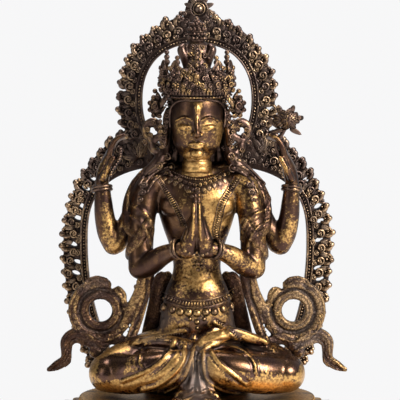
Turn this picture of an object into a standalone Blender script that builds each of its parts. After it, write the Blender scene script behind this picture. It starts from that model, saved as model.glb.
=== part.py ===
"""A four-armed bodhisattva, seated on a double lotus base in front of a pierced double aureole.

Metres, +Z up. The origin is the middle of the base's flat underside, and the figure faces -Y.
Three castings: the lotus base, the figure with its scarves, and the aureole, whose two feet
end in tenons that stand in sockets in the base.
"""

import math

import bmesh
import bpy
from mathutils import Vector

# The lotus base
BASE_WIDTH = 0.184
BASE_BEHIND_AUREOLE = 0.0195
BASE_HEIGHT = 0.052
PLINTH_HEIGHT = 0.007
WAIST_SHARE = 0.80
PETALS = 20
PETAL_BULGE = 0.0046
SEAT_WIDTH = 0.152
SEAT_DEPTH = 0.096
SEAT_RISE = 0.0095
SEAT_FORWARD = 0.003

# The figure: its form is laid out on a grid of this many parts to its height
FIGURE_HEIGHT = 0.2457
FIGURE_PARTS = 378
FIGURE_VOXEL = 0.0011
FIGURE_KEEP = 0.0240

# The aureole
AUREOLE_THICKNESS = 0.0055
NIMBUS_OPENING_WIDTH = 0.0728
NIMBUS_OPENING_HEIGHT = 0.0750
NIMBUS_CENTRE_HEIGHT = 0.1900
NIMBUS_BAND = 0.0172
MANDORLA_OPENING_WIDTH = 0.1474
MANDORLA_CENTRE_HEIGHT = 0.0920
MANDORLA_OPENING_RISE = 0.0545
MANDORLA_OPENING_DROP = 0.1170
MANDORLA_BAND = 0.0178
KNOB_PITCH = 0.0090
KNOB_REACH = 0.0021
SCROLL_RADIUS = 0.0050
SCROLL_RELIEF = 0.0014
RIM_WIDTH = 0.0046
RIM_RELIEF = 0.0010
PIERCING_RADIUS = 0.0020
PIERCED_FROM = 0.045
PIERCED_TO = 0.125
FINIAL_WIDTH = 0.0150
FINIAL_HEIGHT = 0.0160

# How the castings fit together
CASTING_GAP = 0.0003
SEAT_TO_AUREOLE = 0.0006
TENON_WIDTH = 0.009
TENON_DEPTH = 0.0045
TENON_CLEARANCE = 0.0004

PART = FIGURE_HEIGHT / FIGURE_PARTS
SEAT_TOP = BASE_HEIGHT
LEDGE = BASE_HEIGHT - SEAT_RISE
AUREOLE_SETBACK = SEAT_DEPTH / 2 - SEAT_FORWARD + SEAT_TO_AUREOLE
BASE_DEPTH = 2 * (AUREOLE_SETBACK + AUREOLE_THICKNESS + BASE_BEHIND_AUREOLE)
GILT = (0.62, 0.40, 0.13, 1.0)
DARK_GILT = (0.30, 0.19, 0.09, 1.0)
BROWN = (0.20, 0.13, 0.09, 1.0)

TAU = 2 * math.pi


def clear_scene():
    for obj in list(bpy.data.objects):
        bpy.data.objects.remove(obj)


def metal(name, colour, roughness):
    """A Principled metal with one colour."""
    material = bpy.data.materials.new(name)
    material.use_nodes = True
    shader = material.node_tree.nodes["Principled BSDF"]
    shader.inputs["Base Color"].default_value = colour
    shader.inputs["Metallic"].default_value = 1.0
    shader.inputs["Roughness"].default_value = roughness
    return material


def object_from(bm, name, material=None):
    """Turns a bmesh into a named object in the scene."""
    bmesh.ops.recalc_face_normals(bm, faces=bm.faces)
    mesh = bpy.data.meshes.new(name)
    bm.to_mesh(mesh)
    bm.free()
    mesh.shade_smooth()
    mesh.set_sharp_from_angle(angle=math.radians(40))
    if material:
        mesh.materials.append(material)
    obj = bpy.data.objects.new(name, mesh)
    bpy.context.scene.collection.objects.link(obj)
    return obj


def cutter_from(bm, name):
    """A guide solid that only cuts or joins others, and isn't part of the model itself."""
    obj = object_from(bm, name)
    obj.hide_render = True
    obj.display_type = "WIRE"
    return obj


def boolean(obj, other, operation):
    modifier = obj.modifiers.new(operation.title(), "BOOLEAN")
    modifier.object = other
    modifier.operation = operation
    modifier.solver = "EXACT"
    return modifier


def smooth_rows(rows, steps):
    """Rows of numbers read along a Catmull-Rom curve through them, with `steps` to each span."""
    rows = [Vector(row) for row in rows]
    padded = [2 * rows[0] - rows[1]] + rows + [2 * rows[-1] - rows[-2]]
    found = []
    for a, b, c, d in zip(padded, padded[1:], padded[2:], padded[3:]):
        for step in range(steps):
            t = step / steps
            found.append(
                0.5 * (2 * b + (c - a) * t + (2 * a - 5 * b + 4 * c - d) * t * t
                       + (3 * b - a - 3 * c + d) * t ** 3)
            )
    return found + [rows[-1]]


def tube(bm, rows, across=(1, 0, 0), steps=3, sides=12, round_ends=True):
    """Adds a closed tube to bm. A row is x, y, z, half-width along `across`, and half-depth."""
    rows = smooth_rows(rows, steps)
    centres = [Vector(row[:3]) for row in rows]
    across = Vector(across)
    rings = []
    for i, row in enumerate(rows):
        along = (centres[min(i + 1, len(rows) - 1)] - centres[max(i - 1, 0)]).normalized()
        side = (across - across.dot(along) * along).normalized()
        rings.append((centres[i], along, side, along.cross(side), row[3], row[4]))
    if round_ends:
        rings = domed(rings[0], -1)[::-1] + rings + domed(rings[-1], 1)
    loops = []
    for centre, _, side, up, width, depth in rings:
        loops.append([
            bm.verts.new(PART * (centre + side * width * math.cos(TAU * k / sides)
                                 + up * depth * math.sin(TAU * k / sides)))
            for k in range(sides)
        ])
    for low, high in zip(loops, loops[1:]):
        for k in range(sides):
            bm.faces.new((low[k], low[(k + 1) % sides], high[(k + 1) % sides], high[k]))
    bm.faces.new(loops[0][::-1])
    bm.faces.new(loops[-1])


def domed(ring, way):
    """Rings that round off the end of a tube."""
    centre, along, side, up, width, depth = ring
    reach = min(width, depth)
    return [
        (centre + way * along * reach * math.sin(angle), along, side, up,
         width * math.cos(angle), depth * math.cos(angle))
        for angle in (math.radians(35), math.radians(62), math.radians(82))
    ]


def ball(bm, centre, radii, sides=12):
    """Adds an egg with these half-sizes to bm."""
    made = bmesh.ops.create_uvsphere(bm, u_segments=sides, v_segments=sides // 2 + 1, radius=1)
    for vert in made["verts"]:
        vert.co = PART * Vector(c + r * x for c, r, x in zip(centre, radii, vert.co))


def torso(bm):
    """Hips, belly, narrow waist, chest, shoulders and neck."""
    tube(bm, (
        (0, 22, 12, 56, 32), (0, 21, 34, 50, 32), (0, 18, 62, 39, 28), (0, 15, 84, 35, 26),
        (0, 13, 102, 32, 24), (0, 14, 124, 24, 18), (0, 14, 146, 27, 18), (0, 13, 170, 35, 20),
        (0, 12, 194, 41, 21), (0, 14, 211, 42, 17), (0, 15, 222, 29, 13), (0, 12, 230, 17, 13),
        (0, 8, 250, 14, 13),
    ), steps=2, sides=20)
    for side in (-1, 1):
        ball(bm, (side * 19, 1, 190), (19, 14, 15))


def head(bm):
    """The egg of the head, the nose, brows, lips and chin, and long ears with ear-rings."""
    tube(bm, (
        (0, -5, 238, 10, 11), (0, -1, 244, 18, 18), (0, 1, 254, 23, 23), (0, 3, 267, 25.5, 26),
        (0, 4, 282, 26.5, 27), (0, 5, 298, 25, 26), (0, 7, 314, 17, 18),
    ), steps=2, sides=16)
    tube(bm, ((0, -22, 281, 2.4, 2), (0, -24, 270, 2.6, 3), (0, -26, 263, 4.2, 4)), sides=8)
    tube(bm, ((-7, -20, 252, 1.6, 2), (0, -22.5, 252, 3, 3), (7, -20, 252, 1.6, 2)),
         across=(0, 0, 1), sides=8)
    ball(bm, (0, -15, 241), (7, 6, 5))
    for side in (-1, 1):
        tube(bm, ((side * 4, -22, 276, 1.4, 2), (side * 12, -21, 279, 1.6, 2),
                  (side * 20, -15, 276, 1.4, 2)), across=(0, 0, 1), sides=6)
        ball(bm, (side * 11, -17.5, 270), (6.5, 5, 3.6))
        tube(bm, ((side * 27, 4, 282, 4, 6), (side * 31, 2, 266, 4, 7), (side * 33, 0, 250, 4.5, 6)))
        ball(bm, (side * 34, -3, 247), (6, 5, 6))


def crown(bm):
    """A circlet with five tall leaves, a fan and a fluttering ribbon over each ear."""
    tube(bm, ((0, 3, 295, 33, 31), (0, 3, 301, 35.5, 33), (0, 3, 312, 36, 33), (0, 4, 319, 31, 29)),
         sides=20, round_ends=False)
    for turn, tip, wide in ((0, 335, 13), (-36, 338, 9), (36, 338, 9), (-66, 341, 7), (66, 341, 7)):
        angle = math.radians(turn)
        x, y = 35 * math.sin(angle), 3 - 31 * math.cos(angle)
        tube(bm, (
            (x, y, 307, wide, 4), (x, y, 316, wide, 4), (0.96 * x, y, 326, 0.55 * wide, 3.5),
            (0.93 * x, y, tip, 2.6, 2.6),
        ), across=(math.cos(angle), math.sin(angle), 0), sides=8)
    for side in (-1, 1):
        ball(bm, (side * 40, 6, 289), (8, 6, 12), sides=10)
        ball(bm, (side * 41.5, 6, 303), (3, 3, 3), sides=8)
        tube(bm, ((side * 35, 14, 268, 3.5, 3), (side * 44, 16, 273, 4.5, 3),
                  (side * 51, 18, 267, 4, 3), (side * 47, 18, 258, 3.5, 3)), across=(0, 0, 1), sides=8)
        tube(bm, ((side * 52, 18, 274, 3.5, 3), (side * 44, 16, 262, 4.5, 3),
                  (side * 38, 12, 252, 3.5, 3)), across=(0, 0, 1), sides=8)


def hair(bm):
    """The tall chignon with its fanned top and finial, and the locks on the shoulders."""
    tube(bm, (
        (0, 8, 304, 27, 25), (0, 8, 318, 19, 17), (0, 8, 332, 14, 13), (0, 8, 342, 18, 12),
        (0, 8, 349, 17, 10), (0, 8, 353, 10, 7), (0, 7, 358, 7.5, 6), (0, 6, 366, 8.5, 6.5),
        (0, 6, 371, 6, 5), (0, 6, 377, 2, 2),
    ), sides=14, round_ends=False)
    for side in (-1, 1):
        tube(bm, ((side * 28, 18, 262, 5, 8), (side * 31, 17, 244, 6, 8), (side * 38, 12, 232, 7, 8),
                  (side * 48, 9, 222, 6, 5)), sides=8)
        for x, z in ((27, 239), (34, 238), (36, 228), (46, 229)):
            ball(bm, (side * x, -2, z), (4.6, 4.5, 4.6), sides=8)
    tube(bm, ((0, 26, 300, 20, 8), (0, 32, 262, 26, 7), (0, 33, 226, 34, 6)))


def front_arms(bm):
    """The arms whose palms are pressed together before the breast, with bracelets."""
    for side in (-1, 1):
        tube(bm, ((side * 42, 14, 210, 14, 15), (side * 50, 12, 203, 14.5, 15),
                  (side * 54, 7, 182, 13.5, 14), (side * 56, 1, 156, 13, 13),
                  (side * 56, -4, 133, 12.5, 12)), sides=14)
        tube(bm, ((side * 57, -5, 129, 11.5, 12), (side * 47, -12, 133, 11, 11.5),
                  (side * 34, -21, 143, 9.5, 10), (side * 21, -28, 149, 8, 8),
                  (side * 14, -31, 151, 7.5, 7.5)), across=(0, 1, 0), sides=14)
        tube(bm, ((side * 13, -31, 152, 5.5, 9), (side * 8.5, -32, 164, 5.2, 11),
                  (side * 5, -32, 177, 4.4, 11), (side * 3.4, -31, 190, 3.3, 9),
                  (side * 2.3, -29, 203, 2.2, 4.5)), sides=10)
        ring(bm, (side * 19, -29, 150), (side * 1.0, -0.45, 0.35), 10.5, 1.7)
        ball(bm, (side * 51, -2, 198), (6, 5, 9), sides=8)


def back_arms(bm):
    """The raised arms: a rosary hangs from one hand and the other holds a lotus."""
    for side in (-1, 1):
        tube(bm, ((side * 46, 24, 207, 14, 12), (side * 57, 24, 192, 12.5, 12),
                  (side * 69, 22, 169, 11.5, 12), (side * 81, 19, 151, 11, 11.5)), sides=14)
        tube(bm, ((side * 84, 18, 149, 10.5, 11), (side * 89, 17, 161, 11, 11),
                  (side * 92.5, 16, 177, 10.2, 10), (side * 95, 14, 192, 8.4, 8.5),
                  (side * 97, 13, 205, 6.4, 6.4)), sides=14)
        ring(bm, (side * 96.5, 13, 206), (0.05 * side, 0, 1), 9.4, 1.8)
        tube(bm, ((side * 97, 13, 208, 6, 5.5), (side * 96, 12, 220, 8, 5.5),
                  (side * 92, 11, 234, 8.5, 5.5), (side * 86, 10, 246, 7.5, 5),
                  (side * 79, 9, 256, 5.5, 4.2), (side * 73, 8, 262, 3, 3)), sides=10)
    tube(bm, ((-79, 10, 252, 2.4, 2.4), (-80, 9, 232, 2.4, 2.4), (-84, 9, 214, 2.4, 2.4)), sides=6)
    tube(bm, ((78, 9, 252, 2.6, 2.6), (84, 10, 262, 2.4, 2.4), (89, 10, 272, 3, 3)), sides=8)
    ball(bm, (91, 9, 275), (10, 7, 9), sides=10)
    for step in range(6):
        angle = TAU * (step + 0.5) / 6
        x, z = math.cos(angle), math.sin(angle)
        tube(bm, ((91 + 4 * x, 9, 275 + 4 * z, 4, 4), (91 + 12 * x, 7, 275 + 12 * z, 2.4, 2.2)),
             sides=6)


def ring(bm, centre, axis, radius, thickness, sides=16):
    """Adds a plain torus, such as a bracelet."""
    axis = Vector(axis).normalized()
    side = axis.orthogonal().normalized()
    up = axis.cross(side)
    rings = []
    for k in range(sides):
        out = side * math.cos(TAU * k / sides) + up * math.sin(TAU * k / sides)
        rings.append([
            bm.verts.new(PART * (Vector(centre) + out * (radius + thickness * math.cos(TAU * j / 6))
                                 + axis * thickness * math.sin(TAU * j / 6)))
            for j in range(6)
        ])
    for low, high in zip(rings, rings[1:] + rings[:1]):
        for j in range(6):
            bm.faces.new((low[j], low[(j + 1) % 6], high[(j + 1) % 6], high[j]))


def legs(bm):
    """Thighs, crossed shins and the two feet, wrapped in the skirt, with its fan of pleats."""
    for side in (-1, 1):
        tube(bm, ((side * 16, 20, 42, 28, 27), (side * 50, 8, 37, 26, 24),
                  (side * 76, -4, 29, 24, 22), (side * 89, -11, 24, 19, 19)),
             across=(0, 1, 0), sides=14)
        tube(bm, ((side * 91, -14, 24, 17, 19), (side * 66, -30, 26, 17, 20),
                  (side * 40, -40, 31, 16, 19), (side * 18, -43, 36, 14, 17),
                  (side * 4, -38, 40, 12, 14)), across=(0, 1, 0), sides=14)
        tube(bm, ((side * 10, -26, 54, 11, 9), (side * 32, -20, 58, 10, 7),
                  (side * 50, -12, 57, 10, 6), (side * 64, -8, 55, 8, 5)),
             across=(0, 1, 0), sides=10)
    ball(bm, (0, -14, 38), (70, 28, 19), sides=16)
    tube(bm, ((0, -34, 44, 13, 11), (0, -46, 24, 15, 7), (0, -54, 7, 26, 5), (0, -60, 3, 30, 3)),
         sides=12)


def belt(bm):
    """The two rows of the beaded belt, which dip at the front."""
    for height, width, depth in ((94, 35.5, 27), (79, 37.5, 29)):
        rows = []
        for step in range(19):
            angle = TAU * step / 18
            rows.append((width * math.sin(angle), 14 - depth * math.cos(angle),
                         height - 5 * math.cos(angle), 2.6, 3.4))
        tube(bm, rows, across=(0.01, 0.02, 1), steps=1, sides=8, round_ends=False)


def scarves(bm):
    """The scarf over each shoulder, which falls from the elbow to a pierced volute and a tail."""
    for side in (-1, 1):
        tube(bm, ((side * 20, 22, 230, 7, 4), (side * 42, 20, 229, 9, 5), (side * 58, 18, 214, 9, 5),
                  (side * 68, 14, 192, 8, 6), (side * 66, 4, 170, 6, 8), (side * 57, -10, 160, 6, 5)),
             across=(0.3 * side, 1, 0.2), sides=8)
        tube(bm, ((side * 46, -10, 176, 5, 3.5), (side * 56, -12, 160, 6, 3.5),
                  (side * 66, -6, 148, 6, 4), (side * 67, 6, 140, 6, 5)),
             across=(0, 0, 1), sides=8)
        flat_tube(bm, ((side * 50, 6, 128, 7, 5), (side * 56, 11, 104, 7, 4.6),
                       (side * 64, 13, 87, 7, 4.6), (side * 75, 14, 73, 7, 4.6),
                       (side * 90, 14, 63, 6, 4.6)))
        flat_tube(bm, ((side * 46, 8, 126, 5, 4), (side * 51, 12, 104, 5, 4), (side * 57, 12, 82, 5, 4),
                       (side * 63, 10, 64, 5, 4), (side * 70, 4, 48, 5, 4)))
        tube(bm, ((side * 30, 30, 112, 7, 4), (side * 42, 31, 110, 7, 4), (side * 50, 31, 84, 7, 4),
                  (side * 58, 28, 48, 8, 5)), across=(1, 0, 0), sides=8)
        volute(bm, side)
        flat_tube(bm, ((side * 98, 10, 46, 6, 5), (side * 110, 12, 53, 7, 5), (side * 122, 15, 57, 8, 5),
                       (side * 131, 16, 51, 7, 5), (side * 132, 16, 40, 5.5, 4.5),
                       (side * 133, 16, 32, 5.5, 4), (side * 142, 16, 26, 5, 3.5),
                       (side * 152, 16, 21, 1.6, 2)))
        flat_tube(bm, ((side * 70, 10, 50, 6, 5), (side * 88, 12, 54, 6, 5), (side * 104, 9, 40, 6, 5)))


def volute(bm, side):
    """The ring in which a scarf end is rolled up, with the broad band round it and two leaf lobes."""
    middle = Vector((side * 97, 14, 83))
    for radius, start, end in ((16.7, 0, 360), (27.5, 85, -150)):
        rows = []
        for step in range(13):
            angle = math.radians(start + (end - start) * step / 12)
            place = middle + radius * Vector((side * math.cos(angle), 0, math.sin(angle)))
            rows.append((*place, 5.6, 4.8))
        flat_tube(bm, rows)
    ball(bm, (side * 100, 14, 108), (14, 5, 10), sides=10)
    ball(bm, (side * 80, 14, 95), (9, 5, 12), sides=10)


def flat_tube(bm, rows, sides=8):
    """A tube that winds in the XZ plane, so that its width follows the curve."""
    rows = smooth_rows(rows, 2)
    loops = []
    for i, row in enumerate(rows):
        along = (Vector(rows[min(i + 1, len(rows) - 1)][:3])
                 - Vector(rows[max(i - 1, 0)][:3])).normalized()
        side = along.cross(Vector((0, 1, 0))).normalized()
        up = side.cross(along)
        loops.append([
            bm.verts.new(PART * (Vector(row[:3]) + side * row[3] * math.cos(TAU * k / sides)
                                 + up * row[4] * math.sin(TAU * k / sides)))
            for k in range(sides)
        ])
    for low, high in zip(loops, loops[1:]):
        for k in range(sides):
            bm.faces.new((low[k], low[(k + 1) % sides], high[(k + 1) % sides], high[k]))
    bm.faces.new(loops[0][::-1])
    bm.faces.new(loops[-1])


def necklace(bm):
    """A broad collar with a point in the middle, and two long strings that fall to the waist."""
    rows = []
    for step in range(13):
        angle = math.radians(-90 + 15 * step)
        drop = 11 * math.cos(angle) + 6 * math.cos(angle) ** 6
        rows.append((31 * math.sin(angle), 12 - 21 * math.cos(angle), 214 - drop, 7, 4))
    tube(bm, rows, across=(0, 0, 1), steps=1, sides=8)
    for side in (-1, 1):
        tube(bm, ((side * 37, -4, 212, 2.4, 3), (side * 30, -13, 190, 2.4, 3),
                  (side * 22, -10, 168, 2.4, 3), (side * 15, -6, 148, 2.4, 3)), sides=6)


def figure(material):
    """One casting, made by fusing the forms above into a single skin."""
    bm = bmesh.new()
    for build in (torso, head, crown, hair, front_arms, back_arms, legs, belt, scarves, necklace):
        build(bm)
    obj = object_from(bm, "bodhisattva_figure", material)
    obj.location.z = SEAT_TOP + CASTING_GAP
    remesh = obj.modifiers.new("Fuse", "REMESH")
    remesh.mode = "VOXEL"
    remesh.voxel_size = FIGURE_VOXEL
    remesh.use_smooth_shade = True
    soften = obj.modifiers.new("Soften", "SMOOTH")
    soften.factor = 0.5
    soften.iterations = 2
    thin = obj.modifiers.new("Thin", "DECIMATE")
    thin.ratio = FIGURE_KEEP
    boolean(obj, below_seat_cutter(), "DIFFERENCE")
    return obj


def below_seat_cutter():
    """Everything under the seat, so that the figure gets a flat underside."""
    bm = bmesh.new()
    side = 2 * BASE_WIDTH
    bmesh.ops.create_cube(bm, size=side)
    obj = cutter_from(bm, "below_seat")
    obj.location.z = SEAT_TOP + CASTING_GAP - side / 2
    return obj


def base_profile():
    """Rows from the underside to the ledge: height, share of the full size, share of the petals."""
    waist = 0.5 * (PLINTH_HEIGHT + LEDGE)
    lower, upper = waist - PLINTH_HEIGHT, LEDGE - waist
    return (
        (0.0, 1.0, 0.0), (PLINTH_HEIGHT, 1.0, 0.0), (1.06 * PLINTH_HEIGHT, 0.945, 0.8),
        (PLINTH_HEIGHT + 0.45 * lower, 0.95, 1.0), (PLINTH_HEIGHT + 0.88 * lower, 0.85, 0.5),
        (waist, WAIST_SHARE, 0.0), (waist + 0.2 * upper, 0.84, 0.6),
        (waist + 0.7 * upper, 0.93, 1.0), (LEDGE, 0.975, 0.8),
    )


def lotus_base(material):
    """A turned oval pedestal: a plinth, petals bending down and up from a waist, and the seat."""
    bm = bmesh.new()
    lobes = (0.0, 0.85, 1.0, 0.85)
    count = PETALS * len(lobes)
    loops = []
    for height, share, petal in base_profile():
        loops.append([])
        for k in range(count):
            lobe = lobes[k % len(lobes)] * petal * PETAL_BULGE - petal * PETAL_BULGE
            half_width = share * BASE_WIDTH / 2 + PETAL_BULGE + lobe
            half_depth = share * BASE_DEPTH / 2 + PETAL_BULGE + lobe
            loops[-1].append(bm.verts.new(oval(k, count, half_width, half_depth, height, 0)))
    flare = 0.15 * SEAT_RISE
    for grow, height in ((0, LEDGE), (flare, BASE_HEIGHT - flare), (0, BASE_HEIGHT)):
        loops.append([
            bm.verts.new(oval(k, count, SEAT_WIDTH / 2 - flare + grow, SEAT_DEPTH / 2 - flare + grow,
                              height, -SEAT_FORWARD))
            for k in range(count)
        ])
    for low, high in zip(loops, loops[1:]):
        for k in range(count):
            bm.faces.new((low[k], low[(k + 1) % count], high[(k + 1) % count], high[k]))
    bm.faces.new(loops[0][::-1])
    bm.faces.new(loops[-1])
    obj = object_from(bm, "lotus_base", material)
    for side in (-1, 1):
        boolean(obj, socket_cutter(side), "DIFFERENCE")
    return obj


def oval(k, count, half_width, half_depth, height, back):
    """Point k of an oval a little squarer than an ellipse, so that its back holds the aureole."""
    x, y = arch(TAU * k / count, half_width, half_depth, half_depth, 2.25)
    return Vector((x, y + back, height))


def tenon_place(side):
    """The middle of a tenon in plan: under the middle of the mandorla's band."""
    inner, outer = mandorla_reach(LEDGE)
    return side * (inner + outer) / 2, AUREOLE_SETBACK + AUREOLE_THICKNESS / 2


def box(low, high):
    bm = bmesh.new()
    bmesh.ops.create_cube(bm, size=1)
    for vert in bm.verts:
        vert.co = Vector(l + (h - l) * (c + 0.5) for l, h, c in zip(low, high, vert.co))
    return bm


def socket_cutter(side):
    """The hole in the base that a tenon stands in, with clearance all round."""
    x, y = tenon_place(side)
    half = TENON_WIDTH / 2 + TENON_CLEARANCE
    deep = AUREOLE_THICKNESS / 2 + TENON_CLEARANCE
    return cutter_from(
        box((x - half, y - deep, LEDGE - TENON_DEPTH - TENON_CLEARANCE),
            (x + half, y + deep, LEDGE + TENON_DEPTH)),
        f"socket_{'left' if side < 0 else 'right'}",
    )


def arch(angle, half_width, rise, drop, power=2.0):
    """A point on an oval whose upper and lower halves have their own heights."""
    c, s = math.cos(angle), math.sin(angle)
    tall = rise if s >= 0 else drop
    return (half_width * math.copysign(abs(c) ** (2 / power), c),
            tall * math.copysign(abs(s) ** (2 / power), s))


def mandorla_reach(height):
    """Half-widths of the mandorla's opening and of its outer edge at a height."""
    down = MANDORLA_CENTRE_HEIGHT + SEAT_TOP - height
    opening = MANDORLA_OPENING_WIDTH / 2 * math.sqrt(1 - (down / MANDORLA_OPENING_DROP) ** 2)
    drop = MANDORLA_OPENING_DROP + MANDORLA_BAND
    outer = (MANDORLA_OPENING_WIDTH / 2 + MANDORLA_BAND) * math.sqrt(1 - (down / drop) ** 2)
    return opening, outer


def mandorla_outline(angle, grow=0.0):
    x, z = arch(angle, MANDORLA_OPENING_WIDTH / 2 + MANDORLA_BAND + grow,
                MANDORLA_OPENING_RISE + 2.2 * MANDORLA_BAND + grow,
                MANDORLA_OPENING_DROP + MANDORLA_BAND + grow)
    return x, z + MANDORLA_CENTRE_HEIGHT + SEAT_TOP


def mandorla_opening(angle, grow=0.0):
    power = 3.0 if math.sin(angle) > 0 else 2.0
    x, z = arch(angle, MANDORLA_OPENING_WIDTH / 2 + grow, MANDORLA_OPENING_RISE + grow,
                MANDORLA_OPENING_DROP + grow, power)
    return x, z + MANDORLA_CENTRE_HEIGHT + SEAT_TOP


def nimbus_outline(angle, grow=0.0):
    x, z = arch(angle, NIMBUS_OPENING_WIDTH / 2 + NIMBUS_BAND + grow,
                NIMBUS_OPENING_HEIGHT / 2 + 1.2 * NIMBUS_BAND + grow,
                NIMBUS_OPENING_HEIGHT / 2 + NIMBUS_BAND + grow)
    return x, z + NIMBUS_CENTRE_HEIGHT + SEAT_TOP


def nimbus_opening(angle, grow=0.0):
    x, z = arch(angle, NIMBUS_OPENING_WIDTH / 2 + grow, NIMBUS_OPENING_HEIGHT / 2 + grow,
                NIMBUS_OPENING_HEIGHT / 2 + grow, 2.25)
    return x, z + NIMBUS_CENTRE_HEIGHT + SEAT_TOP


def spaced(curve, pitch):
    """Angles at which a closed curve is cut into equal lengths close to `pitch`."""
    fine = [TAU * (k - 0.25 * 720) / 720 for k in range(721)]
    points = [Vector(curve(angle)) for angle in fine]
    steps = [(b - a).length for a, b in zip(points, points[1:])]
    count = max(8, round(sum(steps) / pitch))
    size, run, found = sum(steps) / count, 0.0, []
    for angle, step in zip(fine, steps):
        if run + step >= size * (len(found) + 0.5) and len(found) < count:
            found.append(angle)
        run += step
    return found


def slab(points, front, back):
    """A closed plate between two planes across Y, from its outline as x and z."""
    bm = bmesh.new()
    near = [bm.verts.new((x, front, z)) for x, z in points]
    far = [bm.verts.new((x, back, z)) for x, z in points]
    count = len(points)
    for k in range(count):
        bm.faces.new((near[k], near[(k + 1) % count], far[(k + 1) % count], far[k]))
    bm.faces.new(near[::-1])
    bm.faces.new(far)
    return bm


def scalloped(curve):
    """An outline with a small knob at each pitch."""
    points = []
    angles = spaced(curve, KNOB_PITCH)
    gap = TAU / len(angles)
    for k, angle in enumerate(angles):
        following = angles[(k + 1) % len(angles)] + (TAU if k + 1 == len(angles) else 0)
        step = min(following - angle, 3 * gap)
        for share, reach in ((-0.2, 1.0), (0.2, 1.0), (0.5, -0.45)):
            points.append(curve(angle + share * step, reach * KNOB_REACH))
    return points


def plain(curve, count, grow=0.0):
    return [curve(TAU * k / count, grow) for k in range(count)]


def finial_outline():
    """The pointed jewel on top of the nimbus, from its foot on one side to the other."""
    top = nimbus_outline(math.pi / 2)[1]
    shape = ((-0.5, -0.35), (-0.52, 0.10), (-0.36, 0.42), (-0.18, 0.62), (0.0, 1.0),
             (0.18, 0.62), (0.36, 0.42), (0.52, 0.10), (0.5, -0.35))
    return [(x * FINIAL_WIDTH, top + z * FINIAL_HEIGHT) for x, z in shape][::-1]


def boss(bm, centre, radius, front, sides=5):
    """A low frustum that stands out of the plate's face at -Y, with its foot inside the plate."""
    made = []
    for reach, depth in ((1.0, 0.3 * AUREOLE_THICKNESS), (0.55, -SCROLL_RELIEF)):
        made.append([
            bm.verts.new((centre[0] + reach * radius * math.cos(TAU * k / sides), front + depth,
                          centre[1] + reach * radius * math.sin(TAU * k / sides)))
            for k in range(sides)
        ])
    for low, high in zip(made, made[1:]):
        for k in range(sides):
            bm.faces.new((low[k], low[(k + 1) % sides], high[(k + 1) % sides], high[k]))
    bm.faces.new(made[0][::-1])
    bm.faces.new(made[-1])


def between(inner, outer, angle, share):
    a, b = inner(angle), outer(angle)
    return a[0] + (b[0] - a[0]) * share, a[1] + (b[1] - a[1]) * share


def in_nimbus(point, margin):
    """Whether a point lies inside the nimbus, grown by a margin."""
    half = NIMBUS_OPENING_WIDTH / 2 + NIMBUS_BAND + margin
    tall = NIMBUS_OPENING_HEIGHT / 2 + NIMBUS_BAND + margin
    up = point[1] - NIMBUS_CENTRE_HEIGHT - SEAT_TOP
    return (point[0] / half) ** 2 + (up / tall) ** 2 < 1


def scroll_places():
    """Where the scrolls of the two bands stand, and the piercings between those at the sides."""
    scrolls, piercings = [], []
    for angle in spaced(nimbus_outline, 3.3 * SCROLL_RADIUS):
        scrolls.append(between(nimbus_opening, nimbus_outline, angle, 0.62))
    angles = spaced(mandorla_outline, 3.3 * SCROLL_RADIUS)
    for angle, following in zip(angles, angles[1:]):
        place = between(mandorla_opening, mandorla_outline, angle, 0.64)
        if place[1] < LEDGE + 2 * SCROLL_RADIUS or in_nimbus(place, SCROLL_RADIUS):
            continue
        scrolls.append(place)
        if PIERCED_FROM < place[1] - SEAT_TOP < PIERCED_TO:
            piercings.append(between(mandorla_opening, mandorla_outline,
                                     0.5 * (angle + following), 0.6))
    return scrolls, piercings


def aureole(material):
    """The nimbus and the mandorla in one pierced plate, with knobs, scrolls and a raised rim."""
    front, back = AUREOLE_SETBACK, AUREOLE_SETBACK + AUREOLE_THICKNESS
    obj = object_from(slab(scalloped(mandorla_outline), front, back), "aureole", material)
    proud = 0.5 * RIM_RELIEF
    nimbus = slab(scalloped(nimbus_outline), front - proud, back)
    boolean(obj, cutter_from(nimbus, "nimbus"), "UNION")
    boolean(obj, cutter_from(slab(finial_outline(), front, back), "finial"), "UNION")
    deep = 2 * AUREOLE_THICKNESS
    scrolls, piercings = scroll_places()
    bosses = bmesh.new()
    for place in scrolls:
        boss(bosses, place, SCROLL_RADIUS, front)
    top = nimbus_outline(math.pi / 2)[1]
    boss(bosses, (0, top + 0.1 * FINIAL_HEIGHT), 0.36 * FINIAL_WIDTH, front, 8)
    boolean(obj, cutter_from(bosses, "scrolls"), "UNION")
    for name, curve in (("nimbus_rim", nimbus_opening), ("mandorla_rim", mandorla_opening)):
        rim = slab(plain(curve, 30, RIM_WIDTH), front - RIM_RELIEF, back)
        boolean(obj, cutter_from(rim, name), "UNION")
    for name, curve in (("nimbus_hole", nimbus_opening), ("mandorla_hole", mandorla_opening)):
        hole = slab(plain(curve, 30), front - deep, back + deep)
        boolean(obj, cutter_from(hole, name), "DIFFERENCE")
    holes = bmesh.new()
    for x, z in piercings:
        piercing(holes, (x, z), front - deep, back + deep)
    boolean(obj, cutter_from(holes, "piercings"), "DIFFERENCE")
    side = 2 * BASE_WIDTH
    below = box((-side, front - side, -side), (side, back + side, LEDGE + CASTING_GAP))
    boolean(obj, cutter_from(below, "below_feet"), "DIFFERENCE")
    for way in (-1, 1):
        x, y = tenon_place(way)
        peg = box((x - TENON_WIDTH / 2, front + TENON_CLEARANCE, LEDGE - TENON_DEPTH),
                  (x + TENON_WIDTH / 2, back - TENON_CLEARANCE, LEDGE + TENON_DEPTH))
        boolean(obj, cutter_from(peg, f"tenon_{'left' if way < 0 else 'right'}"), "UNION")
    return obj


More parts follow.
